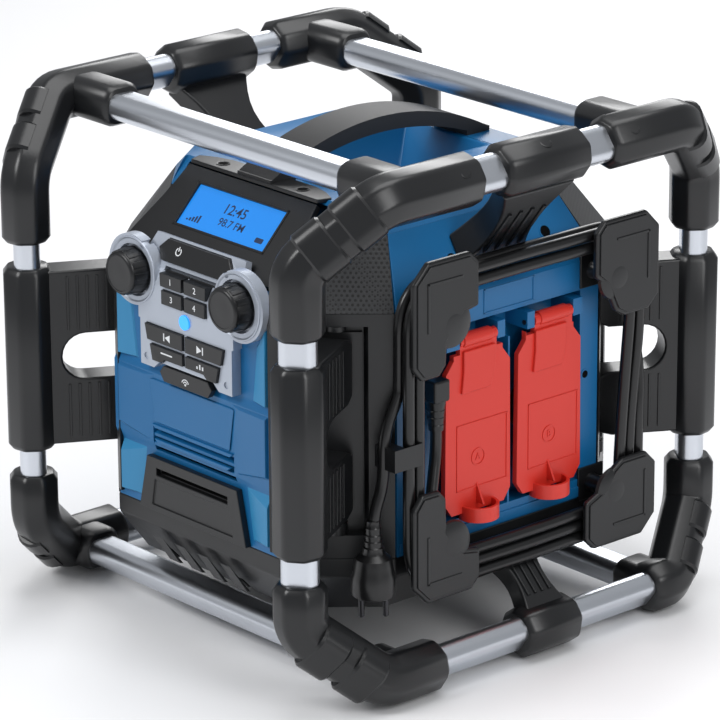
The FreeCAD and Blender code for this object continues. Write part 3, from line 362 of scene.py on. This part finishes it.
for (sx, sy), nm in NM.items():
    for top in (True, False):
        zr, zb, ze = (ZT, ZL1, 306.0) if top else (ZB, ZL0, 109.0)
        ye = {(-1, 1): -64.0, (1, 1): 74.0, (-1, 0): -101.0, (1, 0): 128.0}[(sy, int(top))]
        yx = YX[("f" if sy < 0 else "r") + ("t" if top else "b")]; xe = 138.0 if top else 165.0
        dz = 1 if top else -1
        a = Vector((sx*XV, sy*YV, ze)); b = Vector((sx*XV, sy*YV, zb)); c = Vector((sx*XW, sy*YB, zr)); d = Vector((sx*XW, ye, zr))
        P = bez_path([a + Vector((0, 0, dz*5)), b, c, d + Vector((0, sy*5, 0))], 27.0)
        if abs(d.y-c.y) < 34: P = bez_path([a + Vector((0, 0, dz*5)), b, c, d + Vector((0, sy*5, 0))], 20.0)
        P = [a, a + Vector((0, 0, dz*0.8))] + P + [d + Vector((0, sy*0.8, 0)), d]
        sc = [0.80, 0.84] + [1.0]*(len(P)-4) + [0.84, 0.80]
        V0 = (sx*0.60, sy*0.80, 0)
        name = "corner_%s_%s" % ("top" if top else "bottom", nm)
        o = sweep(name + "_v", P, SECT, sc, V0, "cage_black", ang=50)
        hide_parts(name)
        # stub for the cross rail
        q = Vector((sx*(XW-4), yx, zr)); r_ = Vector((sx*(xe+5), yx, zr)); e = Vector((sx*xe, yx, zr))
        sweep(name + "_stub", [q, r_, e + Vector((sx*0.8, 0, 0)), e], rrect(38, 34, 12, 5), [1.0, 1.0, 0.86, 0.82], (0, 0, 1 if top else -1), "cage_black", ang=50)
        # raised grip pads on the outer side of the diagonal
        dirn = (c-b).normalized(); nout = Vector((sx*0.60, sy*0.80, 0)); 
        T0 = Vector((0, 0, dz)); qn = T0.rotation_difference(dirn); nv = (qn @ nout); nv = (nv - dirn*nv.dot(dirn)).normalized()
        L = (c-b).length
        halfsec = [(u, v) for u, v in rrect(42.5, 40, 12.5, 5) if v > 3.0]
        halfsec = [(21.25, 3.0)] + halfsec + [(-21.25, 3.0)]
        for s0, s1 in ((0.13, 0.46), (0.58, 0.91)):
            p0 = b + dirn*(L*s0); p1 = b + dirn*(L*s1)
            sweep(name + "_pad", [p0, p0 + dirn*2.2, p1 - dirn*2.2, p1], halfsec, [0.955, 1.035, 1.035, 0.955], nv, "cage_black", ang=30)
        # socket screws
        nf = Vector((sx*0.60, sy*0.80, 0)).normalized()
        screw(name + "_s1", Vector((sx*XV, sy*YV, ze + dz*20)) + nf*18.9, nf)
        if top:
            nr = Vector((sx*0.78, 0, 0.62)).normalized()
            screw(name + "_s2", Vector((sx*XW, ye + sy*20, zr)) + nr*19.0, nr)

# upright brackets: sleeve, two arms joined by a round throat, ribs
CXc, HXc = 100.0, 160.0
for (sx, sy), nm in NM.items():
    a = Vector((sx*XV, sy*YV, 131)); e = Vector((sx*XV, sy*YV, 285)); z = Vector((0, 0, 1))
    node = "upright_brackets_" + ("front" if sy < 0 else "rear")
    s = sweep("sleeve_" + nm, [a, a+z*0.8, a+z*5, e-z*5, e-z*0.8, e], SECT, [0.80, 0.84, 1, 1, 0.84, 0.80], (sx*0.60, sy*0.80, 0), "cage_black", ang=50)
    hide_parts(node)
    y0, yc = (-175.0, -108.0) if sy < 0 else (178.0, 112.0)
    c0, c1 = Vector((sx*CXc, y0, 0)), Vector((sx*HXc, yc, 0))
    mid = (c0+c1)/2; t = (c1-c0).normalized(); nn = Vector((sx*abs(t.y), sy*abs(t.x), 0)).normalized()
    q = mid - nn*7.9; pp = Vector((sx*XV, sy*YV, 0)); L = (q-pp).length; ax = (q-pp).normalized(); side = z.cross(ax)
    th = []
    for i in range(13):
        an = math.radians(90 + 180*i/12)
        th.append((44 + 19*math.cos(an), 209 + 19*math.sin(an)))
    prof = [(8, 135), (L-14, 135), (L, 139), (L, 185), (L-10, 190), (46, 190)] + th[::-1] + [(46, 228), (L-10, 228), (L, 233), (L, 278), (L-14, 282), (8, 282)]
    arm = prism("arm_" + nm, prof, pp, ax, z, -13.5, 13.5, "cage_black", bev=2.2, seg=3, ang=40)
    for k in (-1, 1):
        for u in (30, 38, 46, 54, 62):
            if u > L-9: continue
            for z0, z1 in ((141, 186 if u > 40 else 186), (232, 277)):
                O = pp + ax*u + side*(k*13.2)
                prism("rib_" + nm, [(-1.0, z0), (1.0, z0), (1.0, z1), (-1.0, z1)], O, ax, z, -1.4, 1.4, "cage_black", bev=0.4, seg=2)
    nf = Vector((sx*0.60, sy*0.80, 0)).normalized()
    for zz in (262, 152):
        screw("bracket_screw_" + nm, Vector((sx*XV, sy*YV, zz)) + nf*18.9, nf)
for o in [N["cage_screws"]]:
    pass
# the CAD's plain screws are stood for by the detailed ones
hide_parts("cage_screws")

# middle clamps with a waisted, ribbed arm
for sx in (-1, 1):
    for top in (True, False):
        zr = ZT if top else ZB; y0, y1 = (-39.0, 47.0) if top else (-14.0, 43.0)
        nodec = "rail_clamps_top" if top else "rail_clamps_bottom"
        a = Vector((sx*XW, y0, zr)); e = Vector((sx*XW, y1, zr)); z = Vector((0, 1, 0))
        s = sweep("clamp_%s_%d" % ("t" if top else "b", sx), [a, a+z*0.8, a+z*5, e-z*5, e-z*0.8, e], SECT, [0.80, 0.84, 1, 1, 0.84, 0.80], (sx*0.6, 0, 0.8 if top else -0.8), "cage_black", ang=50)
        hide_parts(nodec)
        if top:
            A = [(sx*190, 396), (sx*203, 386)]; B = [(sx*134.8+sx*0.0, 341), (sx*149.5, 317.5)]
            ya, yb_ = y0+5, y1-5; w0, w1, w2 = 0, 13, 4
        else:
            A = [(sx*190, 36), (sx*208, 36)]; B = [(sx*148, 66), (sx*160, 83)]
            ya, yb_ = y0+5, y1-5; w0, w1, w2 = 0, 8, 0
        vs, fs = [], []
        K = 9
        for i in range(K):
            f = i/(K-1); w = math.sin(math.pi*f)*w1 + f*w2
            x0, z0 = A[0][0]*(1-f)+B[0][0]*f, A[0][1]*(1-f)+B[0][1]*f
            x1, z1 = A[1][0]*(1-f)+B[1][0]*f, A[1][1]*(1-f)+B[1][1]*f
            vs += [Vector((x0, ya+w, z0))*mm, Vector((x1, ya+w, z1))*mm, Vector((x1, yb_-w, z1))*mm, Vector((x0, yb_-w, z0))*mm]
        for i in range(K-1):
            for j in range(4):
                k = (j+1) % 4; fs.append((i*4+j, i*4+k, (i+1)*4+k, (i+1)*4+j))
        fs += [(3, 2, 1, 0), tuple((K-1)*4+j for j in range(4))]
        new("clamp_arm_%s_%d" % ("t" if top else "b", sx), vs, fs, "cage_black", bev=2.0, seg=3, ang=40)
        # ribs down the outer face
        for r in (-0.24, -0.08, 0.08, 0.24):
            ym = (ya+yb_)/2 + r*(yb_-ya)
            p0 = Vector((A[1][0]*0.72+B[1][0]*0.28, ym, A[1][1]*0.72+B[1][1]*0.28)); p1 = Vector((A[1][0]*0.18+B[1][0]*0.82, ym, A[1][1]*0.18+B[1][1]*0.82))
            dd = (p1-p0); n_ = Vector((sx*abs(dd.z), 0, (1 if top else -1)*abs(dd.x)*(1 if top else 1))).normalized()
            if top: n_ = Vector((sx*abs(dd.z), 0, -abs(dd.x))).normalized()
            else: n_ = Vector((sx*abs(dd.z), 0, abs(dd.x))).normalized()
            sweep("clamp_rib", [p0, p1], rrect(3.2, 3.2, 1.0, 3), [1, 1], n_, "cage_black")
        nr = Vector((sx*0.5, -0.0, 0.86)) if top else Vector((sx*0.9, 0, 0.3))
        screw("clamp_screw", Vector((sx*XW, (y0+y1)/2, zr)) + nr.normalized()*19.2, nr)

# ------------------------------------------------------------------ cord: one line with all its turns
YI0, YI1, ZI0, ZI1, RI = -84.0, 113.0, 101.0, 301.0, 10.0
OFF = (5.2, 15.5, 25.8); XA, XB = 177.8, 167.0
pos = [(OFF[0], XA), (OFF[1], XA), (OFF[2], XA), (OFF[2], XB)]
route = [(168.5, -73.0, 234.0), (168.5, -73.0, 204.0), (168.5, -73.0, 182.0), (172.5, -80.0, 160.0)]
def left(o, x, whole=True):
    r = (RI+o)*2.34; y = YI0-o
    return ([(x, y, ZI1+o-r), (x, y, 200.0)] if whole else []) + [(x, y, ZI0-o+r)]
def bottom(o, x):
    r = (RI+o)*2.34; z = ZI0-o
    return [(x, YI0-o, z), (x, YI0-o+r, z), (x, 15.0, z-0.8), (x, YI1+o-r, z), (x, YI1+o, z)]
def right_up(o, x, o2, x2, bulge=0.0):
    r = (RI+o)*2.34; r2_ = (RI+o2)*2.34
    return [(x, YI1+o, min(ZI0-o+r, 165.0)), ((x+x2)/2, YI1+(o+o2)/2+bulge, 202.0), (x2, YI1+o2, max(ZI1+o2-r2_, 240.0))]
def top_(o, x):
    r = (RI+o)*2.34; z = ZI1+o
    return [(x, YI1+o, z), (x, YI1+o-r, z), (x, 15.0, z+0.6), (x, YI0-o+r, z), (x, YI0-o, z)]
for k in range(3):
    o, x = pos[k]; o2, x2 = pos[k+1]
    route += left(o, x, k > 0) + bottom(o, x) + right_up(o, x, o2, x2, 6.5 if x2 != x else 0.0) + top_(o2, x2)
o, x = pos[3]
route += [(x, YI0-o, ZI1+o-(RI+o)*2.34), (168.0, -112.0, 236.0), (168.0, -127.0, 210.0), (168.0, -127.0, 168.0), (168.0, -138.0, 146.0), (168.0, -138.0, 124.0)]
cu = D.curves.new("cord_line", "CURVE"); cu.dimensions = "3D"; cu.resolution_u = 10; cu.bevel_depth = 0.47; cu.bevel_resolution = 5; cu.use_fill_caps = True
sp = cu.splines.new("NURBS"); sp.points.add(len(route)-1)
for i, p in enumerate(route):
    sp.points[i].co = (p[0]*mm, p[1]*mm, p[2]*mm, 1); sp.points[i].radius = 0.01
sp.use_endpoint_u = True; sp.order_u = 3
cord = D.objects.new("cord_line", cu); C.scene.collection.objects.link(cord)
cu.materials.append(M["cord_rubber"]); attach(cord, "radio"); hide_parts("cord_tube", "cord_winding")
bd = cu.bevel_depth; cu.bevel_depth = 0; C.view_layer.update()
ml = D.meshes.new_from_object(cord.evaluated_get(C.evaluated_depsgraph_get()))
D.meshes.remove(ml); cu.bevel_depth = bd

def tapered(name, p, d, prof, material="cord_rubber", n=40):
    return lathe(name, prof, p, d, material, "radio", n)
PLX, PLY = 168.0, -138.0
plug = lathe("plug_v", [(15.5, 80), (17.2, 81.5), (17.6, 84), (17.4, 96), (16.0, 100), (15.2, 106), (14.0, 111), (9.2, 115), (8.2, 118), (8.4, 120), (7.2, 121), (7.4, 125), (6.6, 126), (6.8, 130), (6.1, 131), (6.3, 136), (5.7, 137), (5.6, 141.5), (4.9, 142)], (PLX, PLY, 0), (0, 0, 1), "cord_rubber")
pins = []
for k in (-9.5, 9.5):
    pins += [lathe("plug_pin", [(1.6, 62), (2.4, 63), (2.4, 81)], (PLX+k*0.6, PLY+k*0.8, 0), (0, 0, 1), "steel", "radio", 20)]
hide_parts("power_plug")
gl = lathe("gland_cone", [(4.9, 200), (6.0, 200.4), (6.3, 205), (5.9, 205.6), (6.8, 211), (6.3, 211.6), (7.3, 217), (6.8, 217.6), (7.9, 223), (7.9, 225)], (168.5, -73, 0), (0, 0, 1), "cord_rubber")
bx("gland_block", 160, 176.5, -81, -65, 224, 242, "cord_rubber", bev=2.0)
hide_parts("cord_gland")

# ------------------------------------------------------------------ cord hooks
POST = {"ft": (-74.0, 291.0), "rt": (103.0, 291.0), "fb": (-74.0, 111.0), "rb": (103.0, 111.0)}
HKO = {"ft": (-115.0, -47.0, 346.0, 252.0), "rt": (149.0, 79.0, 340.0, 257.0), "fb": (-115.0, -45.0, 68.0, 159.0), "rb": (149.0, 71.0, 66.0, 136.0)}
first = None
for k, (py, pz) in POST.items():
    oy, iy, oz, iz = HKO[k]; fy = -1 if k[0] == "f" else 1; fz = 1 if k[1] == "t" else -1
    if k[0] == "f":
        poly = [(iy, oz - fz*9), (iy + fy*9, oz), (oy - fy*15, oz), (oy, oz - fz*15), (oy, iz + fz*11), (oy - fy*9, iz), (oy - fy*27, iz), (oy - fy*34, iz + fz*8), (oy - fy*35, pz - fz*13), (py - fy*3, pz - fz*2), (py - fy*12, pz + fz*7), (iy, pz + fz*10)]
    else:
        poly = [(iy, oz - fz*9), (iy + fy*9, oz), (oy - fy*15, oz), (oy, oz - fz*15), (oy, iz + fz*11), (oy - fy*11, iz), (py + fy*8, iz), (py - fy*2, iz + fz*6), (py - fy*14, pz - fz*4), (iy, pz + fz*4)]
    area2 = sum(poly[i][0]*poly[(i+1) % len(poly)][1] - poly[(i+1) % len(poly)][0]*poly[i][1] for i in range(len(poly)))
    if area2 < 0: poly = poly[::-1]
    o = prism("hook_plate_" + k, poly, (184, 0, 0), (0, 1, 0), (0, 0, 1), 0, 5.6, "black_plastic", bev=2.2, seg=3, ang=25)
    cy = sum(p[0] for p in poly)/len(poly); cz = sum(p[1] for p in poly)/len(poly)
    # raised inner field
    def shrink(poly, d):
        out = []; n = len(poly)
        for i in range(n):
            p0, p1, p2 = (Vector(poly[i-1]), Vector(poly[i]), Vector(poly[(i+1) % n]))
            e1 = (p1-p0).normalized(); e2 = (p2-p1).normalized()
            n1 = Vector((-e1.y, e1.x)); n2 = Vector((-e2.y, e2.x)); b = (n1+n2)
            b = b/max(0.35, b.length_squared/2)
            out.append(tuple(p1 + b*d))
        return out
    prism("hook_field_" + k, shrink(poly, 3.2), (189, 0, 0), (0, 1, 0), (0, 0, 1), 0, 1.9, "black_plastic", bev=0.7, seg=2, ang=25)
    # angled bead on the field
    ay, az = (oy - fy*14, oz - fz*17)
    for (u0, v0, u1, v1) in ((ay, az, ay, az - fz*38), (ay, az, ay - fy*34, az)):
        prism("hook_bead_" + k, [(min(u0, u1)-1.1, min(v0, v1)-1.1), (max(u0, u1)+1.1, min(v0, v1)-1.1), (max(u0, u1)+1.1, max(v0, v1)+1.1), (min(u0, u1)-1.1, max(v0, v1)+1.1)], (190.4, 0, 0), (0, 1, 0), (0, 0, 1), 0, 1.3, "black_plastic", bev=0.5, seg=2)
    # neck with a flared dome behind the plate
    nk = lathe("hook_neck_" + k, [(8.6, 160), (7.2, 162.5), (7.0, 181), (8.6, 183.2), (17.5, 184.4), (19.5, 186), (18.5, 188.6), (14, 190.4), (6, 191.2), (0.4, 191.4)], (0, py, pz), (1, 0, 0), "cage_black")
    if first is None: first = nk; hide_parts("cord_hooks")
    screw("hook_screw_" + k, (190.6, py - fy*1, pz + fz*2), (1, 0, 0), 2.2)
    bx("hook_block_" + k, 159, 161.5, py-14, py+14, pz-14, pz+14, "black_plastic", bev=0.8)

# ------------------------------------------------------------------ front: display, keys, knobs
SLy0, SLz0, SLy1, SLz1 = -167.0, 315.0, -114.0, 370.0
ln = math.hypot(SLy1-SLy0, SLz1-SLz0); ty, tz = (SLy1-SLy0)/ln, (SLz1-SLz0)/ln; ny, nz = -tz, ty
def S(u, d): return Vector((0, SLy0 + ty*u + ny*d, SLz0 + tz*u + nz*d))
XA_, SY = (1, 0, 0), (0, ty, tz)
D0 = -1.55
text("lcd_1", "12:45", 12.5, S(50, D0), XA_, SY, 0.25, "dark_print", bold=0.12)
text("lcd_2", "98.7 FM", 9.5, S(38.5, D0) + Vector((4, 0, 0)), XA_, SY, 0.25, "dark_print", bold=0.08)
for i in range(5):
    prism("lcd_bar", [(-46+i*3.2, 31.5), (-44+i*3.2, 31.5), (-44+i*3.2, 33+i*1.3), (-46+i*3.2, 33+i*1.3)], S(0, D0), XA_, SY, -0.1, 0.15, "dark_print")
prism("lcd_batt", rrect(9, 4.4, 0.8, 2, 41, 34), S(0, D0), XA_, SY, -0.1, 0.15, "dark_print")
# white numbers and signs on the keys
KP = {"key_1": (-14.8, 300.5, "1"), "key_2": (14.8, 300.5, "2"), "key_3": (-14, 286.2, "3"), "key_4": (14, 286.2, "4")}
FY = -186.5
for k, (x, z, c) in KP.items():
    text(k + "_no", c, 7.2, (x, FY-0.02, z), (1, 0, 0), (0, 0, 1), 0.22, "print_white", k, 0.05)
def tri(name, pts, y, body): prism(name, pts, (0, y, 0), (1, 0, 0), (0, 0, 1), -0.05, 0.15, "print_white", body)
tri("prev_t", [(-22.5, 253.5), (-16.5, 250.3), (-16.5, 256.7)], FY, "key_previous"); tri("prev_b", [(-24.4, 250.3), (-23.2, 250.3), (-23.2, 256.7), (-24.4, 256.7)], FY, "key_previous")
tri("next_t", [(22.5, 253.5), (16.5, 256.7), (16.5, 250.3)], FY, "key_next"); tri("next_b", [(23.2, 250.3), (24.4, 250.3), (24.4, 256.7), (23.2, 256.7)], FY, "key_next")
tri("ll_b", [(-28, 239.0), (-14, 239.0), (-14, 240.2), (-28, 240.2)], FY, "key_lower_left")
for i, h in enumerate((2.2, 4.2, 3.0)):
    tri("lr_b", [(16+i*3.4, 237.6), (17.6+i*3.4, 237.6), (17.6+i*3.4, 237.6+h), (16+i*3.4, 237.6+h)], FY, "key_lower_right")
# power sign: open ring with a stroke, on the leaning face
pv = Vector((0, 18, 34)).normalized(); pn = Vector((0, -pv.z, pv.y))
PO = Vector((0, -184, 296)) + pn*2.25 + pv*27.8
arc = []
for i in range(25):
    an = math.radians(120 + 300*i/24); arc.append((math.cos(an)*3.4, math.sin(an)*3.4))
arc += [(x*0.74, y*0.74) for x, y in arc[::-1]]
prism("power_arc", arc, PO + Vector((-20, 0, 0)), (1, 0, 0), pv, -0.05, 0.2, "print_white", "key_power")
prism("power_bar", [(-0.45, 0.4), (0.45, 0.4), (0.45, 4.2), (-0.45, 4.2)], PO + Vector((-20, 0, 0)), (1, 0, 0), pv, -0.05, 0.2, "print_white", "key_power")
# pairing sign: dot with two arcs
for r in (1.0, 2.9, 4.7):
    a_ = [(math.cos(math.radians(t))*r, math.sin(math.radians(t))*r) for t in range(20, 161, 10)] if r > 1 else circle(1.0, 16)
    if r > 1: a_ += [(x*(r-0.8)/r, y*(r-0.8)/r) for x, y in a_[::-1]]
    prism("pair_sign", a_, (0, -185.0, 219.5), (1, 0, 0), (0, 0, 1), -0.05, 0.2, "print_white", "key_pairing")

for sx, b in ((-1, "knob_left"), (1, "knob_right")):
    KXc, KZc, F = sx*63.0, 299.6, -199.5
    prof = [(18.7, 17.5), (19.0, 17.0), (19.0, 14.0), (18.0, 6.5), (17.6, 2.6), (16.9, 0.9), (15.8, 0.15), (14.6, 0.0), (14.3, 0.5), (13.8, 0.55), (6.0, 0.25), (0.4, 0.2)]
    o = lathe(b + "_cap", prof[::-1] if False else prof, (KXc, F, KZc), (0, 1, 0), "key_black", b, 96, 35)
    for i in range(12):
        an = math.radians(30*i)
        cx, cz = KXc + 18.0*math.cos(an), KZc + 18.0*math.sin(an)
        rad = Vector((math.cos(an), 0, math.sin(an)))
        p0 = Vector((KXc, F+2.8, KZc)) + rad*17.35; p1 = Vector((KXc, F+16.0, KZc)) + rad*18.6
        sweep(b + "_rib", [p0, p1], rrect(5.6, 1.6, 0.7, 2), [1, 1], rad, "key_black", b)
    lathe(b + "_shaft", [(3.9, 17), (3.9, 38.5)], (KXc, F, KZc), (0, 1, 0), "steel", b, 24)
    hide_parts(b)
    # dished ring in the fascia round the knob
    lathe("ear_ring_%d" % sx, [(27.5, 0.0), (27.2, -0.7), (26.2, -0.9), (22.5, 1.8), (21.6, 4.2), (21.3, 5), (27.5, 5)], (KXc+sx*0.6, -184, KZc), (0, 1, 0), "silver_plastic", "radio", 96, 40, ring=True)

# facets on the blue shell: side columns, brow beside the vent, feet; the side columns and feet take a lighter blue copy
# of the shell plastic as painted highlight
def solid8(name, a, b, material, bev=0.5):
    v = [Vector(p)*mm for p in a + b]
    return new(name, v, [(3, 2, 1, 0), (4, 5, 6, 7), (0, 1, 5, 4), (1, 2, 6, 5), (2, 3, 7, 6), (3, 0, 4, 7)], material, bev=bev)
for sx in (-1, 1):
    solid8("col_%d" % sx, [(sx*70, -174.5, 222), (sx*91.5, -174.5, 222), (sx*91.5, -174.5, 288), (sx*76, -174.5, 270)], [(sx*72, -176.2, 223.5), (sx*90.5, -180.4, 223.5), (sx*90.5, -180.2, 284), (sx*77.5, -176.4, 268)], "blue_highlight")
    solid8("foot_%d" % sx, [(sx*67, -174.5, 106), (sx*91.5, -174.5, 106), (sx*91.5, -174.5, 150), (sx*60, -174.5, 150)], [(sx*73, -176.0, 108), (sx*90.5, -179.6, 108), (sx*90.5, -179.6, 140), (sx*66, -176.0, 147)], "blue_highlight")
    solid8("brow_%d" % sx, [(sx*52, -176, 156), (sx*91.5, -177, 163), (sx*91.5, -177, 216), (sx*40, -177, 216)], [(sx*56, -179.4, 160), (sx*90.5, -180.8, 166), (sx*90.5, -180.8, 213), (sx*58, -179.4, 213)], "blue_plastic")
    # black pillar strip beside the shell
    solid8("pillar_%d" % sx, [(sx*92.3, -174.0, 104), (sx*101, -174.0, 104), (sx*101, -174.0, 299), (sx*92.3, -174.0, 299)], [(sx*92.3, -178.8, 104), (sx*99.5, -175.6, 104), (sx*99.5, -175.6, 299), (sx*92.3, -178.8, 299)], "black_plastic")
solid8("brow_mid", [(-44, -177.5, 174), (44, -177.5, 174), (44, -177.5, 212), (-44, -177.5, 212)], [(-46, -179.3, 176), (46, -179.3, 176), (52, -179.3, 211), (-52, -179.3, 211)], "blue_plastic")
for i, z in enumerate((173.5, 161.5)):
    prism("louvre_%d" % i, [(-50+i*3, z), (50-i*3, z), (46-i*3, z-3.2), (-46+i*3, z-3.2)], (0, -176.5, 0), (1, 0, 0), (0, 0, 1), 0, 3.4, "blue_plastic", bev=0.6)

# black bridge between the display and the top cover, with two screw wells
prism("bridge", [(-76, -113), (76, -113), (80, -101), (66, -94), (50, -90), (-50, -90), (-66, -94), (-80, -101)], (0, 0, 372.0), (1, 0, 0), (0, 1, 0), -2.0, 1.6, "black_plastic", bev=0.8)
for sx in (-1, 1):
    lathe("well_%d" % sx, [(5.6, 1.4), (5.6, 2.1), (4.4, 2.0), (4.2, 1.4)], (sx*48, -103, 372), (0, 0, 1), "black_plastic", "radio", 32, ring=True)
    # painted shade: near-black disc in the bottom of each screw well
    lathe("well_dark_%d" % sx, [(4.1, 1.7), (0.2, 1.72)], (sx*48, -103, 372), (0, 0, 1), "opening_shade", "radio", 32)
# display surround: glossy lip
for (x0, x1, u0, u1) in ((-55, 55, 24.0, 26.0), (-55, 55, 63.0, 65.0), (-55, -53, 24.0, 65.0), (53, 55, 24.0, 65.0)):
    prism("lcd_lip", [(x0, u0), (x1, u0), (x1, u1), (x0, u1)], S(0, 0), XA_, SY, -0.5, 0.6, "key_black", bev=0.3, seg=2)

# ------------------------------------------------------------------ right side: label field, shoulder holes, lids
sh = Vector((32, 0, -52)).normalized(); shn = Vector((52, 0, 32)).normalized()
def shp(y, z): return Vector((160 - (z-300)*32/52, y, z))
for y, z in ((-34.5, 324.7), (66, 326)):
    lathe("oval_hole", [(6.2, -0.4), (6.2, 0.45), (5.0, 0.4), (4.8, -0.4)], shp(y, z), shn, "blue_plastic", "radio", 32, ring=True)
    # painted shade: near-black disc inside each oval screw hole
    lathe("oval_hole_shade", [(4.9, 0.1), (0.2, 0.12)], shp(y, z), shn, "opening_shade", "radio", 32)
lf = [(-16, 262), (39, 262), (39, 300), (-16, 300)]
def frame_line(name, x0, x1, z0, z1, X, w, material, body="radio"):
    for (a, b, c, d) in ((x0, x1, z0, z0+w), (x0, x1, z1-w, z1), (x0, x0+w, z0, z1), (x1-w, x1, z0, z1)):
        prism(name, [(a, c), (b, c), (b, d), (a, d)], (X, 0, 0), (0, 1, 0), (0, 0, 1), -0.3, 0.7, material, body, bev=0.25, seg=2)
frame_line("label_field", -15, 39, 279, 299.5, 160, 1.3, "blue_plastic")
lathe("side_hole", [(4.3, -0.2), (4.3, 0.4), (3.2, 0.4), (3.1, -0.2)], (160, 96, 204), (1, 0, 0), "blue_plastic", "radio", 28, ring=True)
# painted shade: near-black disc inside the side hole
lathe("side_hole_shade", [(3.2, 0.15), (0.2, 0.17)], (160, 96, 204), (1, 0, 0), "opening_shade", "radio", 28)
for body, yc, ch in (("outlet_lid_a", -26.0, "A"), ("outlet_lid_b", 51.0, "B")):
    X = 166.0
    frame_line(body + "_field", yc-23, yc+31, 141, 196, X, 0.9, "red_plastic", body)
    rg = circle(7.2, 40, yc, 166); ri = circle(6.3, 40, yc, 166)
    lathe(body + "_ring", [(6.3, -0.2), (6.3, 0.6), (7.2, 0.6), (7.2, -0.2)], (X, yc, 166), (1, 0, 0), "red_plastic", body, 40, ring=True)
    text(body + "_letter", ch, 8.0, (X+0.15, yc, 166), (0, 1, 0), (0, 0, 1), 0.7, "red_plastic", body, 0.1)
    # strap from the hinge, ramped to the plate
    prism(body + "_strap", [(yc-17, 256.5), (yc+17, 256.5), (yc+17, 240), (yc+12, 222), (yc-19, 222), (yc-17, 240)], (X, 0, 0), (0, 1, 0), (0, 0, 1), -0.5, 2.4, "red_plastic", body, bev=1.0)
    prism(body + "_fin", [(0, 128), (9, 128), (0, 146)], (X-0.5, yc-1, 0), (1, 0, 0), (0, 0, 1), -0.9, 0.9, "red_plastic", body, bev=0.3)
    lathe(body + "_knuckle", [(5.4, -15), (5.8, -14.5), (5.8, 14.5), (5.4, 15)], (163.0, yc-1 if ch == "A" else yc+4, 264.3), (0, 1, 0), "red_plastic", body, 40)

# ------------------------------------------------------------------ base: slanted grooves in the lower front edge and on the trim
for xx in (-52, -24, 4, 32):
    solid8("tooth", [(xx, -160, 52), (xx+15, -160, 52), (xx+10, -172, 70), (xx-5, -172, 70)], [(xx+1, -163, 52.5), (xx+14, -163, 52.5), (xx+9, -176.5, 76), (xx-4, -176.5, 76)], "black_plastic", 0.8)
# painted shade: near-black box in the vent slot behind the trim
bx("trim_slot_shade", -43.5, 43.5, -176, -175.2, 131.5, 136.5, "opening_shade")
# lower side sill on the right
prism("sill_r", [(-104, 101), (108, 101), (108, 110), (-104, 110)], (160, 0, 0), (0, 1, 0), (0, 0, 1), -0.5, 1.2, "blue_plastic", bev=0.6)
